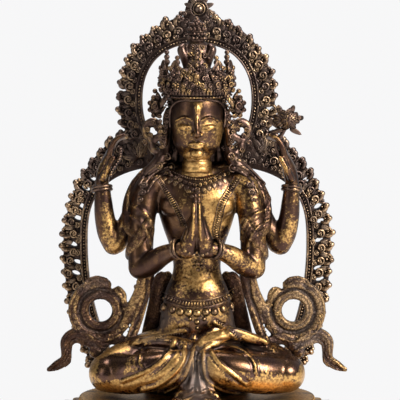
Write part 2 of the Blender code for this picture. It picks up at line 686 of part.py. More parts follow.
def piercing(bm, centre, front, back, sides=5):
    """A five-sided bar that cuts one piercing."""
    near, far = (
        [bm.verts.new((centre[0] + PIERCING_RADIUS * math.cos(TAU * k / sides), y,
                       centre[1] + PIERCING_RADIUS * math.sin(TAU * k / sides)))
         for k in range(sides)]
        for y in (front, back)
    )
    for k in range(sides):
        bm.faces.new((near[k], near[(k + 1) % sides], far[(k + 1) % sides], far[k]))
    bm.faces.new(near[::-1])
    bm.faces.new(far)


clear_scene()
lotus_base(metal("gilt_bronze", GILT, 0.35))
figure(metal("worn_gilt_bronze", DARK_GILT, 0.35))
aureole(metal("brown_bronze", BROWN, 0.45))
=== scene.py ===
"""The looks of a four-armed seated bodhisattva of gilt bronze: the figure, its aureole and the lotus base.

Metres, +Z up, and the figure faces -Y. The figure's forms are laid out on the same grid of parts as its
CAD form. Places given as across and down are points of the 400 pixel picture that the camera takes.
"""

import math

import bmesh
import bpy
import numpy as np
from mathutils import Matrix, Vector
from mathutils.bvhtree import BVHTree

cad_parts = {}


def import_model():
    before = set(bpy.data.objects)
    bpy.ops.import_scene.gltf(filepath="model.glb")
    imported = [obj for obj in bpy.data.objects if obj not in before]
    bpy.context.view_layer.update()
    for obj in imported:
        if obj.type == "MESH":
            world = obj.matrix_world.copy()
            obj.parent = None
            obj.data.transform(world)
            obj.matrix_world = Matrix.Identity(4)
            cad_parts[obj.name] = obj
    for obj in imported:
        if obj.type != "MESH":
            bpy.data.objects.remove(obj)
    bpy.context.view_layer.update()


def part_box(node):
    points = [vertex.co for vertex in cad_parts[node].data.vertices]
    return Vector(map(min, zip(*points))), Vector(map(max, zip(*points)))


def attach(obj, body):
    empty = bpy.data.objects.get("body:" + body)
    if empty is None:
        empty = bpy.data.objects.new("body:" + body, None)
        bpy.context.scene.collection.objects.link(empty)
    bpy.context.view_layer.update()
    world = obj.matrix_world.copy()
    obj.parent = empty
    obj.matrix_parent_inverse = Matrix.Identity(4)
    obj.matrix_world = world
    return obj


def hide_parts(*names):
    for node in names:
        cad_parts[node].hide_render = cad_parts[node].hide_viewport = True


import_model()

# The castings, from the frame
FIGURE_LOW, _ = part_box("bodhisattva_figure")
AUREOLE_LOW, AUREOLE_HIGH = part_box("aureole")
BASE_LOW, BASE_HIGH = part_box("lotus_base")

# The figure is laid out on a grid of parts
PART = 0.2457 / 378
SEAT = FIGURE_LOW.z

# The aureole's driving sizes
TENON_DEPTH = 0.0045
TENON_WIDTH = 0.009
LEDGE = AUREOLE_LOW.z + TENON_DEPTH
PLATE = 0.0055
FRONT = AUREOLE_HIGH.y - PLATE
SEAT_TOP = BASE_HIGH.z
NIMBUS_OPENING_WIDTH, NIMBUS_OPENING_HEIGHT = 0.0728, 0.0750
NIMBUS_CENTRE = SEAT_TOP + 0.1900
NIMBUS_BAND = 0.0172
MANDORLA_OPENING_WIDTH = 0.1474
MANDORLA_CENTRE = SEAT_TOP + 0.0920
MANDORLA_RISE, MANDORLA_DROP = 0.0545, 0.1170
MANDORLA_BAND = 0.0178
RIM_END = MANDORLA_CENTRE + 0.042
NIMBUS_FOOT = NIMBUS_CENTRE - 0.030
UNIT_PITCH = 0.0092
PEARL_PITCH = 0.0021

# Round an opening: the pearls' distance from it, and each cord's distance and half-width
PEARL_LINE = 0.0023
RIM_CORDS = ((0.0007, 0.0008), (0.0043, 0.0009))

# The base's driving sizes
SEAT_WIDTH, SEAT_DEPTH, SEAT_RISE, SEAT_FORWARD = 0.152, 0.096, 0.0095, 0.003
PLINTH = 0.007
PETALS = 26
BASE_HALF_WIDTH, BASE_HALF_DEPTH = (BASE_HIGH.x - BASE_LOW.x) / 2, (BASE_HIGH.y - BASE_LOW.y) / 2

# The camera
CAMERA = Vector((0.002, -1.2, 0.302))
AIM = Vector((0.002, 0.0, 0.1797))
LENS, SENSOR, PICTURE = 168.0, 36.0, 400

PAPER = (0.93, 0.93, 0.935)
BRIGHT_SIDE = (0.55, 0.83, 0.05)

COARSER = 1.0
TAU = 2 * math.pi
UP, DEPTH, FACING = (np.array(way, float) for way in ((0, 0, 1), (0, 1, 0), (0, -1, 0)))

# The figure's middle line in the picture, the power of the base's oval, and the gilding's flecks to the metre
MIDDLE = 197
OVAL = 2.25
FLECK = 620.0
CHANCE = np.random.default_rng(7)


# Shapes

class Heap:
    """Points and faces that grow into one mesh. Each point has a height share: 0 in a hollow, 1 on top."""

    def __init__(self):
        self.points, self.faces, self.tops, self.count = [], [], [], 0

    def add(self, points, faces, tops=None):
        points = np.asarray(points, float).reshape(-1, 3)
        self.points.append(points)
        self.faces.append(np.asarray(faces, int) + self.count)
        self.tops.append(np.full(len(points), 0.5) if tops is None else np.asarray(tops, float))
        self.count += len(points)


def object_of(name, heap):
    """Makes the mesh. A face is four numbers, and a triangle repeats its last."""
    points = np.concatenate(heap.points)
    faces = np.concatenate(heap.faces)
    three = faces[:, 2] == faces[:, 3]
    loops = np.concatenate([faces[~three].ravel(), faces[three][:, :3].ravel()])
    starts = np.concatenate([np.arange((~three).sum()) * 4, (~three).sum() * 4 + np.arange(three.sum()) * 3])
    mesh = bpy.data.meshes.new(name)
    mesh.vertices.add(len(points))
    mesh.vertices.foreach_set("co", points.astype(np.float32).ravel())
    mesh.loops.add(len(loops))
    mesh.loops.foreach_set("vertex_index", loops.astype(np.int32))
    mesh.polygons.add(len(faces))
    mesh.polygons.foreach_set("loop_start", starts.astype(np.int32))
    mesh.update(calc_edges=True)
    mesh.shade_smooth()
    store(mesh, "top", np.concatenate(heap.tops))
    obj = bpy.data.objects.new(name, mesh)
    bpy.context.scene.collection.objects.link(obj)
    return obj


def store(mesh, name, values):
    attribute = mesh.attributes.get(name) or mesh.attributes.new(name, "FLOAT", "POINT")
    attribute.data.foreach_set("value", np.asarray(values, np.float32))


def curve(rows, steps):
    """Rows of numbers read along a Catmull-Rom curve through them."""
    rows = np.asarray(rows, float)
    padded = np.vstack([2 * rows[0] - rows[1], rows, 2 * rows[-1] - rows[-2]])
    t = np.arange(steps)[:, None] / steps
    found = []
    for a, b, c, d in zip(padded, padded[1:], padded[2:], padded[3:]):
        found.append(0.5 * (2 * b + (c - a) * t + (2 * a - 5 * b + 4 * c - d) * t ** 2
                            + (3 * b - a - 3 * c + d) * t ** 3))
    return np.vstack(found + [rows[-1:]])


def unit(v):
    v = np.asarray(v, float)
    return v / np.maximum(np.linalg.norm(v, axis=-1, keepdims=True), 1e-12)


def grid_faces(rows, columns):
    """The faces of rings of points, each ring closed."""
    i, k = np.meshgrid(np.arange(rows - 1), np.arange(columns), indexing="ij")
    a, b = i * columns + k, i * columns + (k + 1) % columns
    return np.stack([a, b, b + columns, a + columns], -1).reshape(-1, 4)


def fan(start, columns, middle, flip):
    k = np.arange(columns)
    a, b = start + k, start + (k + 1) % columns
    pair = (b, a) if flip else (a, b)
    return np.stack([*pair, np.full(columns, middle), np.full(columns, middle)], 1)


def rings(heap, loops, tops=None):
    """Adds a closed skin through rings of points, with a point at each end."""
    count, columns = loops.shape[:2]
    points = np.vstack([loops.reshape(-1, 3), loops[0].mean(0), loops[-1].mean(0)])
    n = count * columns
    faces = np.vstack([grid_faces(count, columns), fan(0, columns, n, True),
                       fan(n - columns, columns, n + 1, False)])
    if tops is not None:
        tops = np.concatenate([np.asarray(tops).ravel(), [0.5, 0.5]])
    heap.add(points, faces, tops)


def placed(points, grid=True):
    """From the figure's grid of parts to metres."""
    points = np.asarray(points, float)
    return points * PART + (0, 0, SEAT) if grid else points


def skin(centres, side, up, size, sides):
    """Rings of points round a line. Size is a half-width and a half-depth at each of its points."""
    turn = TAU * np.arange(sides) / sides
    return (centres[:, None] + side[:, None] * (size[:, :1] * np.cos(turn))[..., None]
            + up[:, None] * (size[:, 1:] * np.sin(turn))[..., None])


def tube(heap, rows, across=(1, 0, 0), steps=5, sides=24, ends=True, grid=True, winding=False):
    """A closed tube. A row is x, y, z, half-width along `across`, and half-depth."""
    rows = curve(rows, steps)
    centres = rows[:, :3]
    along = unit(np.gradient(centres, axis=0))
    if winding:
        across = np.cross(along, DEPTH)
    across = np.broadcast_to(np.asarray(across, float), along.shape)
    side = unit(across - (across * along).sum(1)[:, None] * along)
    up = np.cross(along, side)
    size = rows[:, 3:5]
    if ends:
        turns = np.radians((85, 65, 40, 20))
        pieces = []
        for i, way in ((0, -1), (-1, 1)):
            centre = centres[i] + way * along[i] * size[i].min() * np.sin(turns)[:, None]
            pieces.append((centre, np.repeat(side[i][None], 4, 0), np.repeat(up[i][None], 4, 0),
                           size[i] * np.cos(turns)[:, None]))
        first, last = pieces
        last = [part[::-1] for part in last]
        centres, side, up, size = (np.vstack(group) for group in zip(first, (centres, side, up, size), last))
    rings(heap, placed(skin(centres, side, up, size, sides), grid))


def both(heap, rows, across=(1, 0, 0), **more):
    """The same tube on both sides."""
    for side in (-1, 1):
        tube(heap, [(side * row[0], *row[1:]) for row in rows],
             (side * across[0] if across[1] else across[0], *across[1:]), **more)


def ball_rings(bend, sides):
    """Rings of points on a ball of radius 1, each at an angle above its middle, in degrees."""
    bend, turn = np.radians(bend)[:, None], TAU * np.arange(sides) / sides
    return np.stack([np.cos(bend) * np.cos(turn), np.cos(bend) * np.sin(turn),
                     np.sin(bend) * np.ones(sides)], -1)


def egg(heap, centre, radii, sides=24):
    loops = ball_rings(np.linspace(-82, 82, sides // 2), sides)
    rings(heap, placed(np.asarray(centre) + loops * np.asarray(radii)))


def torus_faces(sides, columns):
    i, k = np.meshgrid(np.arange(sides), np.arange(columns), indexing="ij")
    a, b = i * columns + k, i * columns + (k + 1) % columns
    c, d = (i + 1) % sides * columns + k, (i + 1) % sides * columns + (k + 1) % columns
    return np.stack([a, b, d, c], -1).reshape(-1, 4)


def hoop(heap, centre, axis, radius, thick, sides=40, flat=1.0, grid=True):
    """A torus round an axis."""
    axis = unit(axis)
    side = unit(np.cross(axis, (0.3, 1, 0.2)))
    turn = TAU * np.arange(sides) / sides
    out = side * np.cos(turn)[:, None] + np.cross(axis, side) * np.sin(turn)[:, None]
    bend = TAU * np.arange(10) / 10
    loops = (np.asarray(centre) + out[:, None] * (radius + thick * np.cos(bend))[None, :, None]
             + axis * (flat * thick * np.sin(bend))[None, :, None])
    heap.add(placed(loops.reshape(-1, 3), grid), torus_faces(sides, 10))


def fused(name, heap, voxel, rounds=3):
    """One skin over everything in the heap."""
    obj = object_of(name, heap)
    remesh = obj.modifiers.new("Fuse", "REMESH")
    remesh.mode = "VOXEL"
    remesh.voxel_size = voxel * COARSER
    remesh.use_smooth_shade = True
    soften = obj.modifiers.new("Soften", "SMOOTH")
    soften.factor = 0.5
    soften.iterations = rounds
    applied(obj)
    return obj


def applied(obj):
    """Turns what an object's modifiers make into its mesh."""
    graph = bpy.context.evaluated_depsgraph_get()
    mesh = bpy.data.meshes.new_from_object(obj.evaluated_get(graph))
    obj.modifiers.clear()
    obj.data = mesh
    mesh.name = obj.name
    return mesh


# The camera's picture

FORWARD = (AIM - CAMERA).normalized()
RIGHT = FORWARD.cross(Vector((0, 0, 1))).normalized()
ABOVE = RIGHT.cross(FORWARD)
FOCAL = LENS / SENSOR * PICTURE


def seen(points):
    """Where points in metres stand in the picture: across and down."""
    d = np.asarray(points) - np.array(CAMERA)
    depth = d @ np.array(FORWARD)
    return np.stack([PICTURE / 2 + FOCAL * (d @ np.array(RIGHT)) / depth,
                     PICTURE / 2 - FOCAL * (d @ np.array(ABOVE)) / depth], 1)


def sight(across, down):
    return (FORWARD + RIGHT * ((across - PICTURE / 2) / FOCAL)
            + ABOVE * ((PICTURE / 2 - down) / FOCAL)).normalized()


class Surface:
    """Finished pieces, on which ornament is laid where the camera sees it."""

    def __init__(self, *objects):
        graph = bpy.context.evaluated_depsgraph_get()
        self.trees = [BVHTree.FromObject(obj, graph) for obj in objects]

    def hit(self, origin, direction):
        best = None
        for tree in self.trees:
            place, normal, _, distance = tree.ray_cast(origin, direction)
            if place and (best is None or distance < best[2]):
                best = (np.array(place), np.array(normal), distance)
        return best

    def at(self, across, down):
        return self.hit(CAMERA, sight(across, down))


def run_of(points):
    """How far each point is along the line through them."""
    return np.concatenate([[0], np.cumsum(np.linalg.norm(np.diff(points, axis=0), axis=1))])


def along_path(path, pitch):
    """Points at equal steps along a smooth path."""
    fine = curve(path, 12)
    run = run_of(fine)
    at = np.linspace(0, run[-1], max(2, round(run[-1] / pitch) + 1))
    return np.stack([np.interp(at, run, fine[:, k]) for k in range(fine.shape[1])], 1)


def oval(turn, power):
    """Shares of the half-width and half-depth round an oval, fuller as the power rises."""
    c, s = np.cos(turn), np.sin(turn)
    return np.sign(c) * np.abs(c) ** (2 / power), np.sign(s) * np.abs(s) ** (2 / power)


# Ornament

def bead_shape(sides=9, levels=5):
    loops = ball_rings(np.linspace(-70, 80, levels), sides)
    heap = Heap()
    rings(heap, loops, np.clip(0.25 + 0.75 * loops[..., 2], 0, 1))
    return shape_of(heap)


def shape_of(heap):
    return np.concatenate(heap.points), np.concatenate(heap.faces), np.concatenate(heap.tops)


def tendril(heap, centres, size, sides, low):
    """A cord near the plane of a shape's first two directions, with height shares that rise from low."""
    along = unit(np.gradient(centres, axis=0))
    side = unit(np.cross(along, UP))
    tops = np.clip(low + (1 - low) * np.sin(TAU * np.arange(sides) / sides), 0, 1)
    rings(heap, skin(centres, side, np.cross(side, along), size, sides), tops[None].repeat(len(centres), 0))


def balls(heap, ball, *rows):
    """Adds balls. A row is the radius, or one for each direction, and the middle."""
    points, faces, tops = ball
    for radius, middle in rows:
        heap.add(points * radius + middle, faces, tops)


def curl_shape():
    """A spiral cord of radius 1 round a ball, lying in the plane of its first two directions."""
    heap = Heap()
    t = np.linspace(0, 1, 19)
    reach = 0.76 - 0.50 * t ** 0.8
    angle = -2.3 + TAU * 1.25 * t
    thick = 0.25 - 0.08 * t
    thick[0] = 0.05
    centres = np.stack([reach * np.cos(angle), reach * np.sin(angle), 0.02 + 0.26 * t], 1)
    tendril(heap, centres, np.stack([thick, 1.5 * thick], 1), 6, 0.3)
    balls(heap, bead_shape(7, 4), (0.33, (0, 0, 0.25)))
    return shape_of(heap)


def leaf_shape():
    """A pointed leaf from (-1, 0) to (1, 0) with a midrib and curled edges."""
    heap = Heap()
    t = np.linspace(-1, 1, 9)
    wide = 0.42 * np.sqrt(np.clip(1 - t ** 2, 0, 1)) * (1 - 0.35 * t) + 0.01
    v = np.array((-1, -0.8, -0.4, 0, 0.4, 0.8, 1))
    lift = np.array((0, 0.16, 0.05, 0.20, 0.05, 0.16, 0))
    top = np.stack([t[:, None].repeat(7, 1), wide[:, None] * v, (wide / 0.42)[:, None] * lift], -1)
    low = top[:, ::-1].copy()
    low[..., 2] = -0.15
    tops = np.concatenate([(lift / 0.2)[None].repeat(9, 0), np.zeros((9, 7))], 1)
    rings(heap, np.concatenate([top, low], 1), tops)
    return shape_of(heap)


def flower_shape(petals=6):
    """A ball in a ring of ball petals."""
    heap = Heap()
    turns = [TAU * k / petals for k in range(petals)]
    balls(heap, bead_shape(8, 4), ((0.42, 0.42, 0.36), (0, 0, 0.22)),
          *(((0.36, 0.36, 0.32), (0.63 * math.cos(turn), 0.63 * math.sin(turn), 0.05)) for turn in turns))
    return shape_of(heap)


def knob_shape():
    """A thick tendril from the origin that swells and turns in to a knob of radius 1 about (2.6, 0.7)."""
    heap = Heap()
    rows = curve(((0, 0, 0.0, 0.30), (0.8, -0.45, 0.15, 0.62), (1.8, -0.35, 0.25, 0.75),
                  (2.5, 0.35, 0.30, 0.62)), 3)
    tendril(heap, rows[:, :3], rows[:, [3, 3]], 7, 0.25)
    balls(heap, bead_shape(11, 7), ((1, 0.92, 0.95), (2.6, 0.7, 0.35)), (0.42, (1.25, 0.75, 0.2)))
    return shape_of(heap)


def cabochon_shape():
    """A low round stone in a ring."""
    heap = Heap()
    balls(heap, bead_shape(14, 7), ((0.72, 0.72, 0.6), (0, 0, 0.1)))
    turn, bend = TAU * np.arange(20)[:, None] / 20, TAU * np.arange(7) / 7
    reach = 0.88 + 0.14 * np.cos(bend)
    loops = np.stack([np.cos(turn) * reach, np.sin(turn) * reach, np.ones((20, 1)) * 0.18 * np.sin(bend)], -1)
    tops = np.clip(np.sin(bend), 0, 1)[None].repeat(20, 0).ravel()
    heap.add(loops.reshape(-1, 3), torus_faces(20, 7), tops)
    return shape_of(heap)


BEAD = bead_shape()
PEARL = bead_shape(7, 4)
CURL = curl_shape()
LEAF = leaf_shape()
FLOWER = flower_shape()
KNOB = knob_shape()
CABOCHON = cabochon_shape()


def stamp(heap, shape, place, normal, along, size, mirror=False, top=1.0):
    """Adds a shape at a place in metres. Size is one number, or one for each of its directions."""
    points, faces, tops = shape
    normal = unit(normal)
    along = np.asarray(along, float)
    along = along - along @ normal * normal
    if np.linalg.norm(along) < 1e-6:
        along = np.cross(normal, (0.1, 0.2, 0.97))
    along = unit(along)
    aside = np.cross(normal, along) * (-1 if mirror else 1)
    made = np.asarray(place) + points * (np.ones(3) * size) @ np.stack([along, aside, normal])
    heap.add(made, turned(faces) if mirror else faces, tops * top)


def turned(faces):
    """Faces the other way round, with a triangle's repeat kept last."""
    three = faces[:, 2] == faces[:, 3]
    out = faces[:, ::-1].copy()
    out[three] = faces[three][:, [1, 0, 2, 2]]
    return out


def lay(heap, shape, place, normal, along, size, **more):
    """Adds a shape at a place on the figure's grid, with its size in parts."""
    stamp(heap, shape, placed(place), normal, along, np.multiply(size, PART), **more)


def tall(size, share):
    """A size whose third direction is a share of the other two."""
    return size, size, share * size


def set_on(heap, surface, shape, across, down, along, size, proud=0.0, normal=None, **more):
    """Adds a shape, its size in parts, to the surface that shows at a point of the picture."""
    found = surface.at(across, down)
    if found:
        place = found[0] + found[1] * proud * PART
        normal = found[1] if normal is None else normal
        stamp(heap, shape, place, normal, along, np.multiply(size, PART), **more)


def string(heap, surface, path, pitch, shape, size, **more):
    """Adds a shape to the surface at equal steps, in pixels, along a path in the picture."""
    points = along_path(path, pitch)
    for (across, down), way in zip(points, np.gradient(points, axis=0)):
        along = np.array(RIGHT) * way[0] - np.array(ABOVE) * way[1]
        set_on(heap, surface, shape, across, down, along, size, **more)


def cord(heap, surface, path, radius, lift=0.0, wave=lambda share: 1.0):
    """A round cord on the surface along a path in the picture, with its radius and lift in parts."""
    points = along_path(path, 1.5)
    rows = []
    for share, (across, down) in zip(np.linspace(0, 1, len(points)), points):
        found = surface.at(across, down)
        if found:
            thick = radius * PART * wave(share)
            rows.append((*(found[0] + found[1] * lift * PART), thick, thick))
    if len(rows) > 2:
        rows = np.array(rows)
        rows[1:-1, :3] = 0.25 * rows[:-2, :3] + 0.5 * rows[1:-1, :3] + 0.25 * rows[2:, :3]
        tube(heap, rows, across=DEPTH, steps=1, sides=8, grid=False)


def shifted(path, right, down):
    return [(x + right, y + down) for x, y in path]


# Chasing, gilding, and painted light and shade

def arrays(mesh):
    points = np.empty(len(mesh.vertices) * 3, np.float32)
    mesh.vertices.foreach_get("co", points)
    normals = np.empty(len(mesh.vertices) * 3, np.float32)
    mesh.vertex_normals.foreach_get("vector", normals)
    return points.reshape(-1, 3).astype(float), normals.reshape(-1, 3).astype(float)


def nearness(places, path, reach):
    """How far each place is from a path, in pixels, worked out only near it."""
    fine = curve(path, 8)
    low, high = fine.min(0) - reach, fine.max(0) + reach
    near = np.flatnonzero(((places > low) & (places < high)).all(1))
    away = np.full(len(places), 1e6)
    if len(near):
        best = np.full(len(near), 1e6)
        for a, b in zip(fine, fine[1:]):
            step = b - a
            t = np.clip(((places[near] - a) @ step) / max(step @ step, 1e-9), 0, 1)
            best = np.minimum(best, np.linalg.norm(places[near] - a - t[:, None] * step, axis=1))
        away[near] = best
    return away


def chase(obj, lines):
    """Raises ridges and sinks grooves in the side that the camera sees. A line is its path in the
    picture, the half-width in pixels and the height in parts, which is below 0 for a groove."""
    mesh = obj.data
    points, normals = arrays(mesh)
    places = seen(points)
    facing = np.clip(-normals @ np.array(FORWARD) * 2.5, 0, 1)
    lift = np.zeros(len(points))
    for path, width, height in lines:
        away = nearness(places, np.array(path, float), 4 * width)
        lift += height * np.exp(-(away / width) ** 2) * facing
        if height > 0:
            lift -= 0.35 * height * np.exp(-((away - 2.1 * width) / width) ** 2) * facing
    points += normals * (lift * PART)[:, None]
    mesh.vertices.foreach_set("co", points.astype(np.float32).ravel())
    mesh.update()


def bend_of(mesh, points, normals, rounds):
    """How far each point stands out of its neighbours: above 0 on a ridge."""
    count = len(points)
    ends = np.empty(len(mesh.edges) * 2, np.int32)
    mesh.edges.foreach_get("vertices", ends)
    a, b = ends.reshape(-1, 2).T
    total = np.maximum(np.bincount(a, minlength=count) + np.bincount(b, minlength=count), 1)

    def spread(values):
        return (np.bincount(a, values[b], count) + np.bincount(b, values[a], count)) / total

    mean = np.stack([spread(points[:, k]) for k in range(3)], 1)
    bend = ((points - mean) * normals).sum(1)
    for _ in range(rounds):
        bend = spread(bend)
    return bend


def gild_and_paint_light(obj, base, places, edge=1.0, dust_and_sheen=()):
    """Stores how much gilding is left, with painted light on the ridges and painted shade in the hollows. A
    place is across, down, its half-sizes, its turn in degrees and the amount, above or below 0. Places of
    dust and of painted sheen are given in the same way."""
    mesh = obj.data
    points, normals = arrays(mesh)
    at = seen(points)
    facing = np.clip(0.5 - normals @ np.array(FORWARD) * 2, 0, 1)

    def patches(rows):
        total = np.zeros(len(points))
        for across, down, wide, high, turn, more in rows:
            c, s = math.cos(math.radians(turn)), math.sin(math.radians(turn))
            dx, dy = at[:, 0] - across, at[:, 1] - down
            u, v = (dx * c + dy * s) / wide, (-dx * s + dy * c) / high
            total += more * np.exp(-(u * u + v * v) ** 1.5) * facing
        return total

    amount = base + patches(places)
    length = math.sqrt(sum(p.area for p in mesh.polygons) / len(mesh.polygons))
    bend = bend_of(mesh, points, normals, 2) / length
    # painted light and shade: ridges get more gilding and look lighter, hollows get less and look darker
    amount += edge * np.clip(bend * 5, -0.5, 0.5)
    store(mesh, "gilt_and_painted_light", amount)
    # The hollow mask holds dust in the hollows, and the painted sheen of the scarves' right side
    store(mesh, "hollow", np.clip(-bend * 6, 0, 1) + patches(dust_and_sheen))


def gild_stamps(obj, low, high, spots=0.3, foot=0.0):
    """Gilding on the tops of small ornament, different from piece to piece, and more of it low down."""
    mesh = obj.data
    top = np.empty(len(mesh.vertices), np.float32)
    mesh.attributes["top"].data.foreach_get("value", top)
    points, _ = arrays(mesh)
    wave = np.sin(points @ np.array((310, 170, 260)) + 2 * np.sin(points @ np.array((90, 140, 210))))
    lower = np.clip((MANDORLA_CENTRE + 0.05 - points[:, 2]) / 0.05, 0, 1)
    store(mesh, "gilt_and_painted_light", low + (high - low) * top + spots * wave * top + foot * lower * (0.3 + top))
    store(mesh, "hollow", np.clip(0.9 - 1.6 * top, 0, 1))


# Materials

class Nodes:
    """A node tree. A socket among a node's inputs is linked, and any other value is set."""

    def __init__(self, owner):
        owner.use_nodes = True
        self.tree = owner.node_tree

    def feed(self, node, inputs):
        for key, value in inputs.items():
            socket = node.inputs[key]
            if isinstance(value, bpy.types.NodeSocket):
                self.tree.links.new(value, socket)
            else:
                socket.default_value = (*value, 1) if socket.type == "RGBA" else value
        return node

    def node(self, kind, inputs=None, **settings):
        made = self.tree.nodes.new("ShaderNode" + kind)
        for key, value in settings.items():
            setattr(made, key, value)
        return self.feed(made, inputs or {})

    def maths(self, kind, a, b, clamp=False):
        return self.node("Math", {0: a, 1: b}, operation=kind, use_clamp=clamp).outputs[0]

    def mixed(self, share, a, b):
        return self.node("Mix", {"Factor": share, 6: a, 7: b}, data_type="RGBA", clamp_factor=True).outputs[2]

    def ramp(self, value, low, high, **ends):
        inputs = {"Value": value, "From Min": low, "From Max": high, **ends}
        return self.node("MapRange", inputs, interpolation_type="SMOOTHSTEP").outputs["Result"]

    def shown(self, lit, paper):
        """One shader that lights the scene, and another that the camera sees in its place."""
        camera_ray = self.node("LightPath").outputs["Is Camera Ray"]
        return self.node("MixShader", {0: camera_ray, 1: lit.outputs[0], 2: paper.outputs[0]}).outputs[0]


def bronze(name, gold, deep_gold, patina, patina_far, dust_and_sheen_colour, gloss=(0.42, 0.42), patch=110.0, spread=0.34,
           dust=0.5, chasing=0.35, chasing_scale=1500.0, scales=0.0, flecks=0.9):
    """Bronze with worn gilding over a dark patina, dust in the hollows, and painted shade that darkens its
    recesses.
    """
    material = bpy.data.materials.new(name)
    tree = Nodes(material)
    maths, mixed, ramp = tree.maths, tree.mixed, tree.ramp
    place = tree.node("TexCoord").outputs["Object"]
    gilt_and_painted_light, hollow = (tree.node("Attribute", attribute_name=key).outputs["Fac"] for key in ("gilt_and_painted_light", "hollow"))

    def noise(scale, detail, roughness=0.6):
        inputs = {"Scale": scale, "Detail": detail, "Roughness": roughness, "Vector": place}
        return tree.node("TexNoise", inputs).outputs["Fac"]

    def times(a, b):
        return maths("MULTIPLY", a, b)

    def swing(value, middle, much):
        return times(maths("SUBTRACT", value, middle), much)

    large, small, fine = noise(patch, 4), noise(FLECK, 5, 0.65), noise(3.1 * FLECK, 3)
    # worn carries the gilding together with its painted ridge light, hollow shade, side shade and finger
    # highlights
    worn = maths("ADD", maths("ADD", gilt_and_painted_light, swing(large, 0.5, 1.5)), swing(small, 0.5, flecks))
    left = ramp(worn, 0.5 - spread, 0.5 + spread)
    # The occlusion feeds both the dust and the painted shade of the recesses
    occlusion = tree.node("AmbientOcclusion", {"Distance": 0.006}, samples=8)
    shut = maths("SUBTRACT", 1.0, occlusion.outputs["AO"])
    dust_and_sheen = times(ramp(maths("ADD", shut, swing(fine, 0.5, 0.5)), 0.25, 0.75), dust)
    # The hollow mask brings in dust and painted sheen, and dust scales both
    dust_and_sheen = maths("MAXIMUM", dust_and_sheen, times(times(hollow, dust), small))
    bare = mixed(ramp(large, 0.4, 0.6), patina, patina_far)
    gilded = mixed(ramp(small, 0.35, 0.65), deep_gold, gold)
    colour = mixed(left, bare, gilded)
    colour = mixed(dust_and_sheen, colour, dust_and_sheen_colour)
    # painted shade: where the occlusion finds a recess, the colour is darkened towards a near-black patina
    colour = mixed(times(ramp(shut, 0.15, 0.85), 0.92), colour, [0.2 * c for c in patina])
    relief = noise(chasing_scale, 3)
    if scales:
        cells = tree.node("TexVoronoi", {"Scale": scales, "Vector": place}, feature="DISTANCE_TO_EDGE")
        flat = ramp(cells.outputs["Distance"], 0.02, 0.16)
        colour = mixed(times(maths("SUBTRACT", 1.0, flat), 0.55), colour, [0.35 * c for c in patina])
        relief = maths("ADD", relief, flat)
    rough = maths("ADD", times(left, gloss[0] - gloss[1]), gloss[1])
    rough = maths("ADD", rough, swing(fine, 0.4, 0.30))
    rough = maths("ADD", rough, times(dust_and_sheen, 0.50), clamp=True)
    bump = tree.node("Bump", {"Strength": chasing, "Distance": 0.0002, "Height": relief})
    tree.feed(tree.tree.nodes["Principled BSDF"], {"Metallic": 1.0, "Base Color": colour, "Roughness": rough,
                                                   "Normal": bump.outputs["Normal"]})
    return material


GOLD, DEEP_GOLD = (0.58, 0.345, 0.120), (0.27, 0.140, 0.048)
PURPLE, WARM_BROWN = (0.058, 0.031, 0.023), (0.115, 0.060, 0.032)
# A grey for dust, which on the right of the scarves is also painted sheen
DUST_AND_SHEEN_GREY = (0.155, 0.130, 0.115)
skin_bronze = bronze("worn_gilding", GOLD, DEEP_GOLD, PURPLE, WARM_BROWN, DUST_AND_SHEEN_GREY, (0.38, 0.31), spread=0.24,
                     dust=0.45, chasing=0.55, chasing_scale=FLECK, flecks=1.7)
skirt = bronze("skirt_gilding", GOLD, DEEP_GOLD, (0.085, 0.046, 0.035), WARM_BROWN, DUST_AND_SHEEN_GREY, (0.37, 0.22),
               spread=0.17, dust=0.55, chasing=0.4, chasing_scale=FLECK, flecks=1.4)
engraved = bronze("engraved_scarf", (0.50, 0.315, 0.135), (0.24, 0.130, 0.052), PURPLE, WARM_BROWN, DUST_AND_SHEEN_GREY,
                  (0.38, 0.34), dust=0.6, chasing=0.7, chasing_scale=FLECK, scales=420.0)
carved = bronze("chased_bronze", (0.46, 0.29, 0.12), (0.22, 0.125, 0.055), (0.075, 0.044, 0.034),
                (0.13, 0.080, 0.060), DUST_AND_SHEEN_GREY, (0.32, 0.32), patch=160.0, spread=0.4)
halo = bronze("aureole_bronze", (0.46, 0.31, 0.18), (0.24, 0.155, 0.095), (0.085, 0.056, 0.046),
              (0.15, 0.105, 0.084), (0.17, 0.145, 0.135), (0.30, 0.31), 130.0, 0.4, 0.45, 0.6)
# The ground between the aureole's relief is darker than the relief: painted shade for the recesses
shaded_halo_ground = bronze("aureole_ground_painted_shade", (0.30, 0.20, 0.12), (0.15, 0.10, 0.065), (0.040, 0.026, 0.022),
                     (0.075, 0.050, 0.041), (0.12, 0.10, 0.092), (0.36, 0.36), 130.0, 0.4, 0.35, 0.6)
pedestal = bronze("pedestal_gilding", GOLD, DEEP_GOLD, PURPLE, WARM_BROWN, DUST_AND_SHEEN_GREY)


def finish_piece(obj, material, node):
    obj.data.materials.clear()
    obj.data.materials.append(material)
    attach(obj, "root")
    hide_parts(node)
    return obj


# The figure: its skin

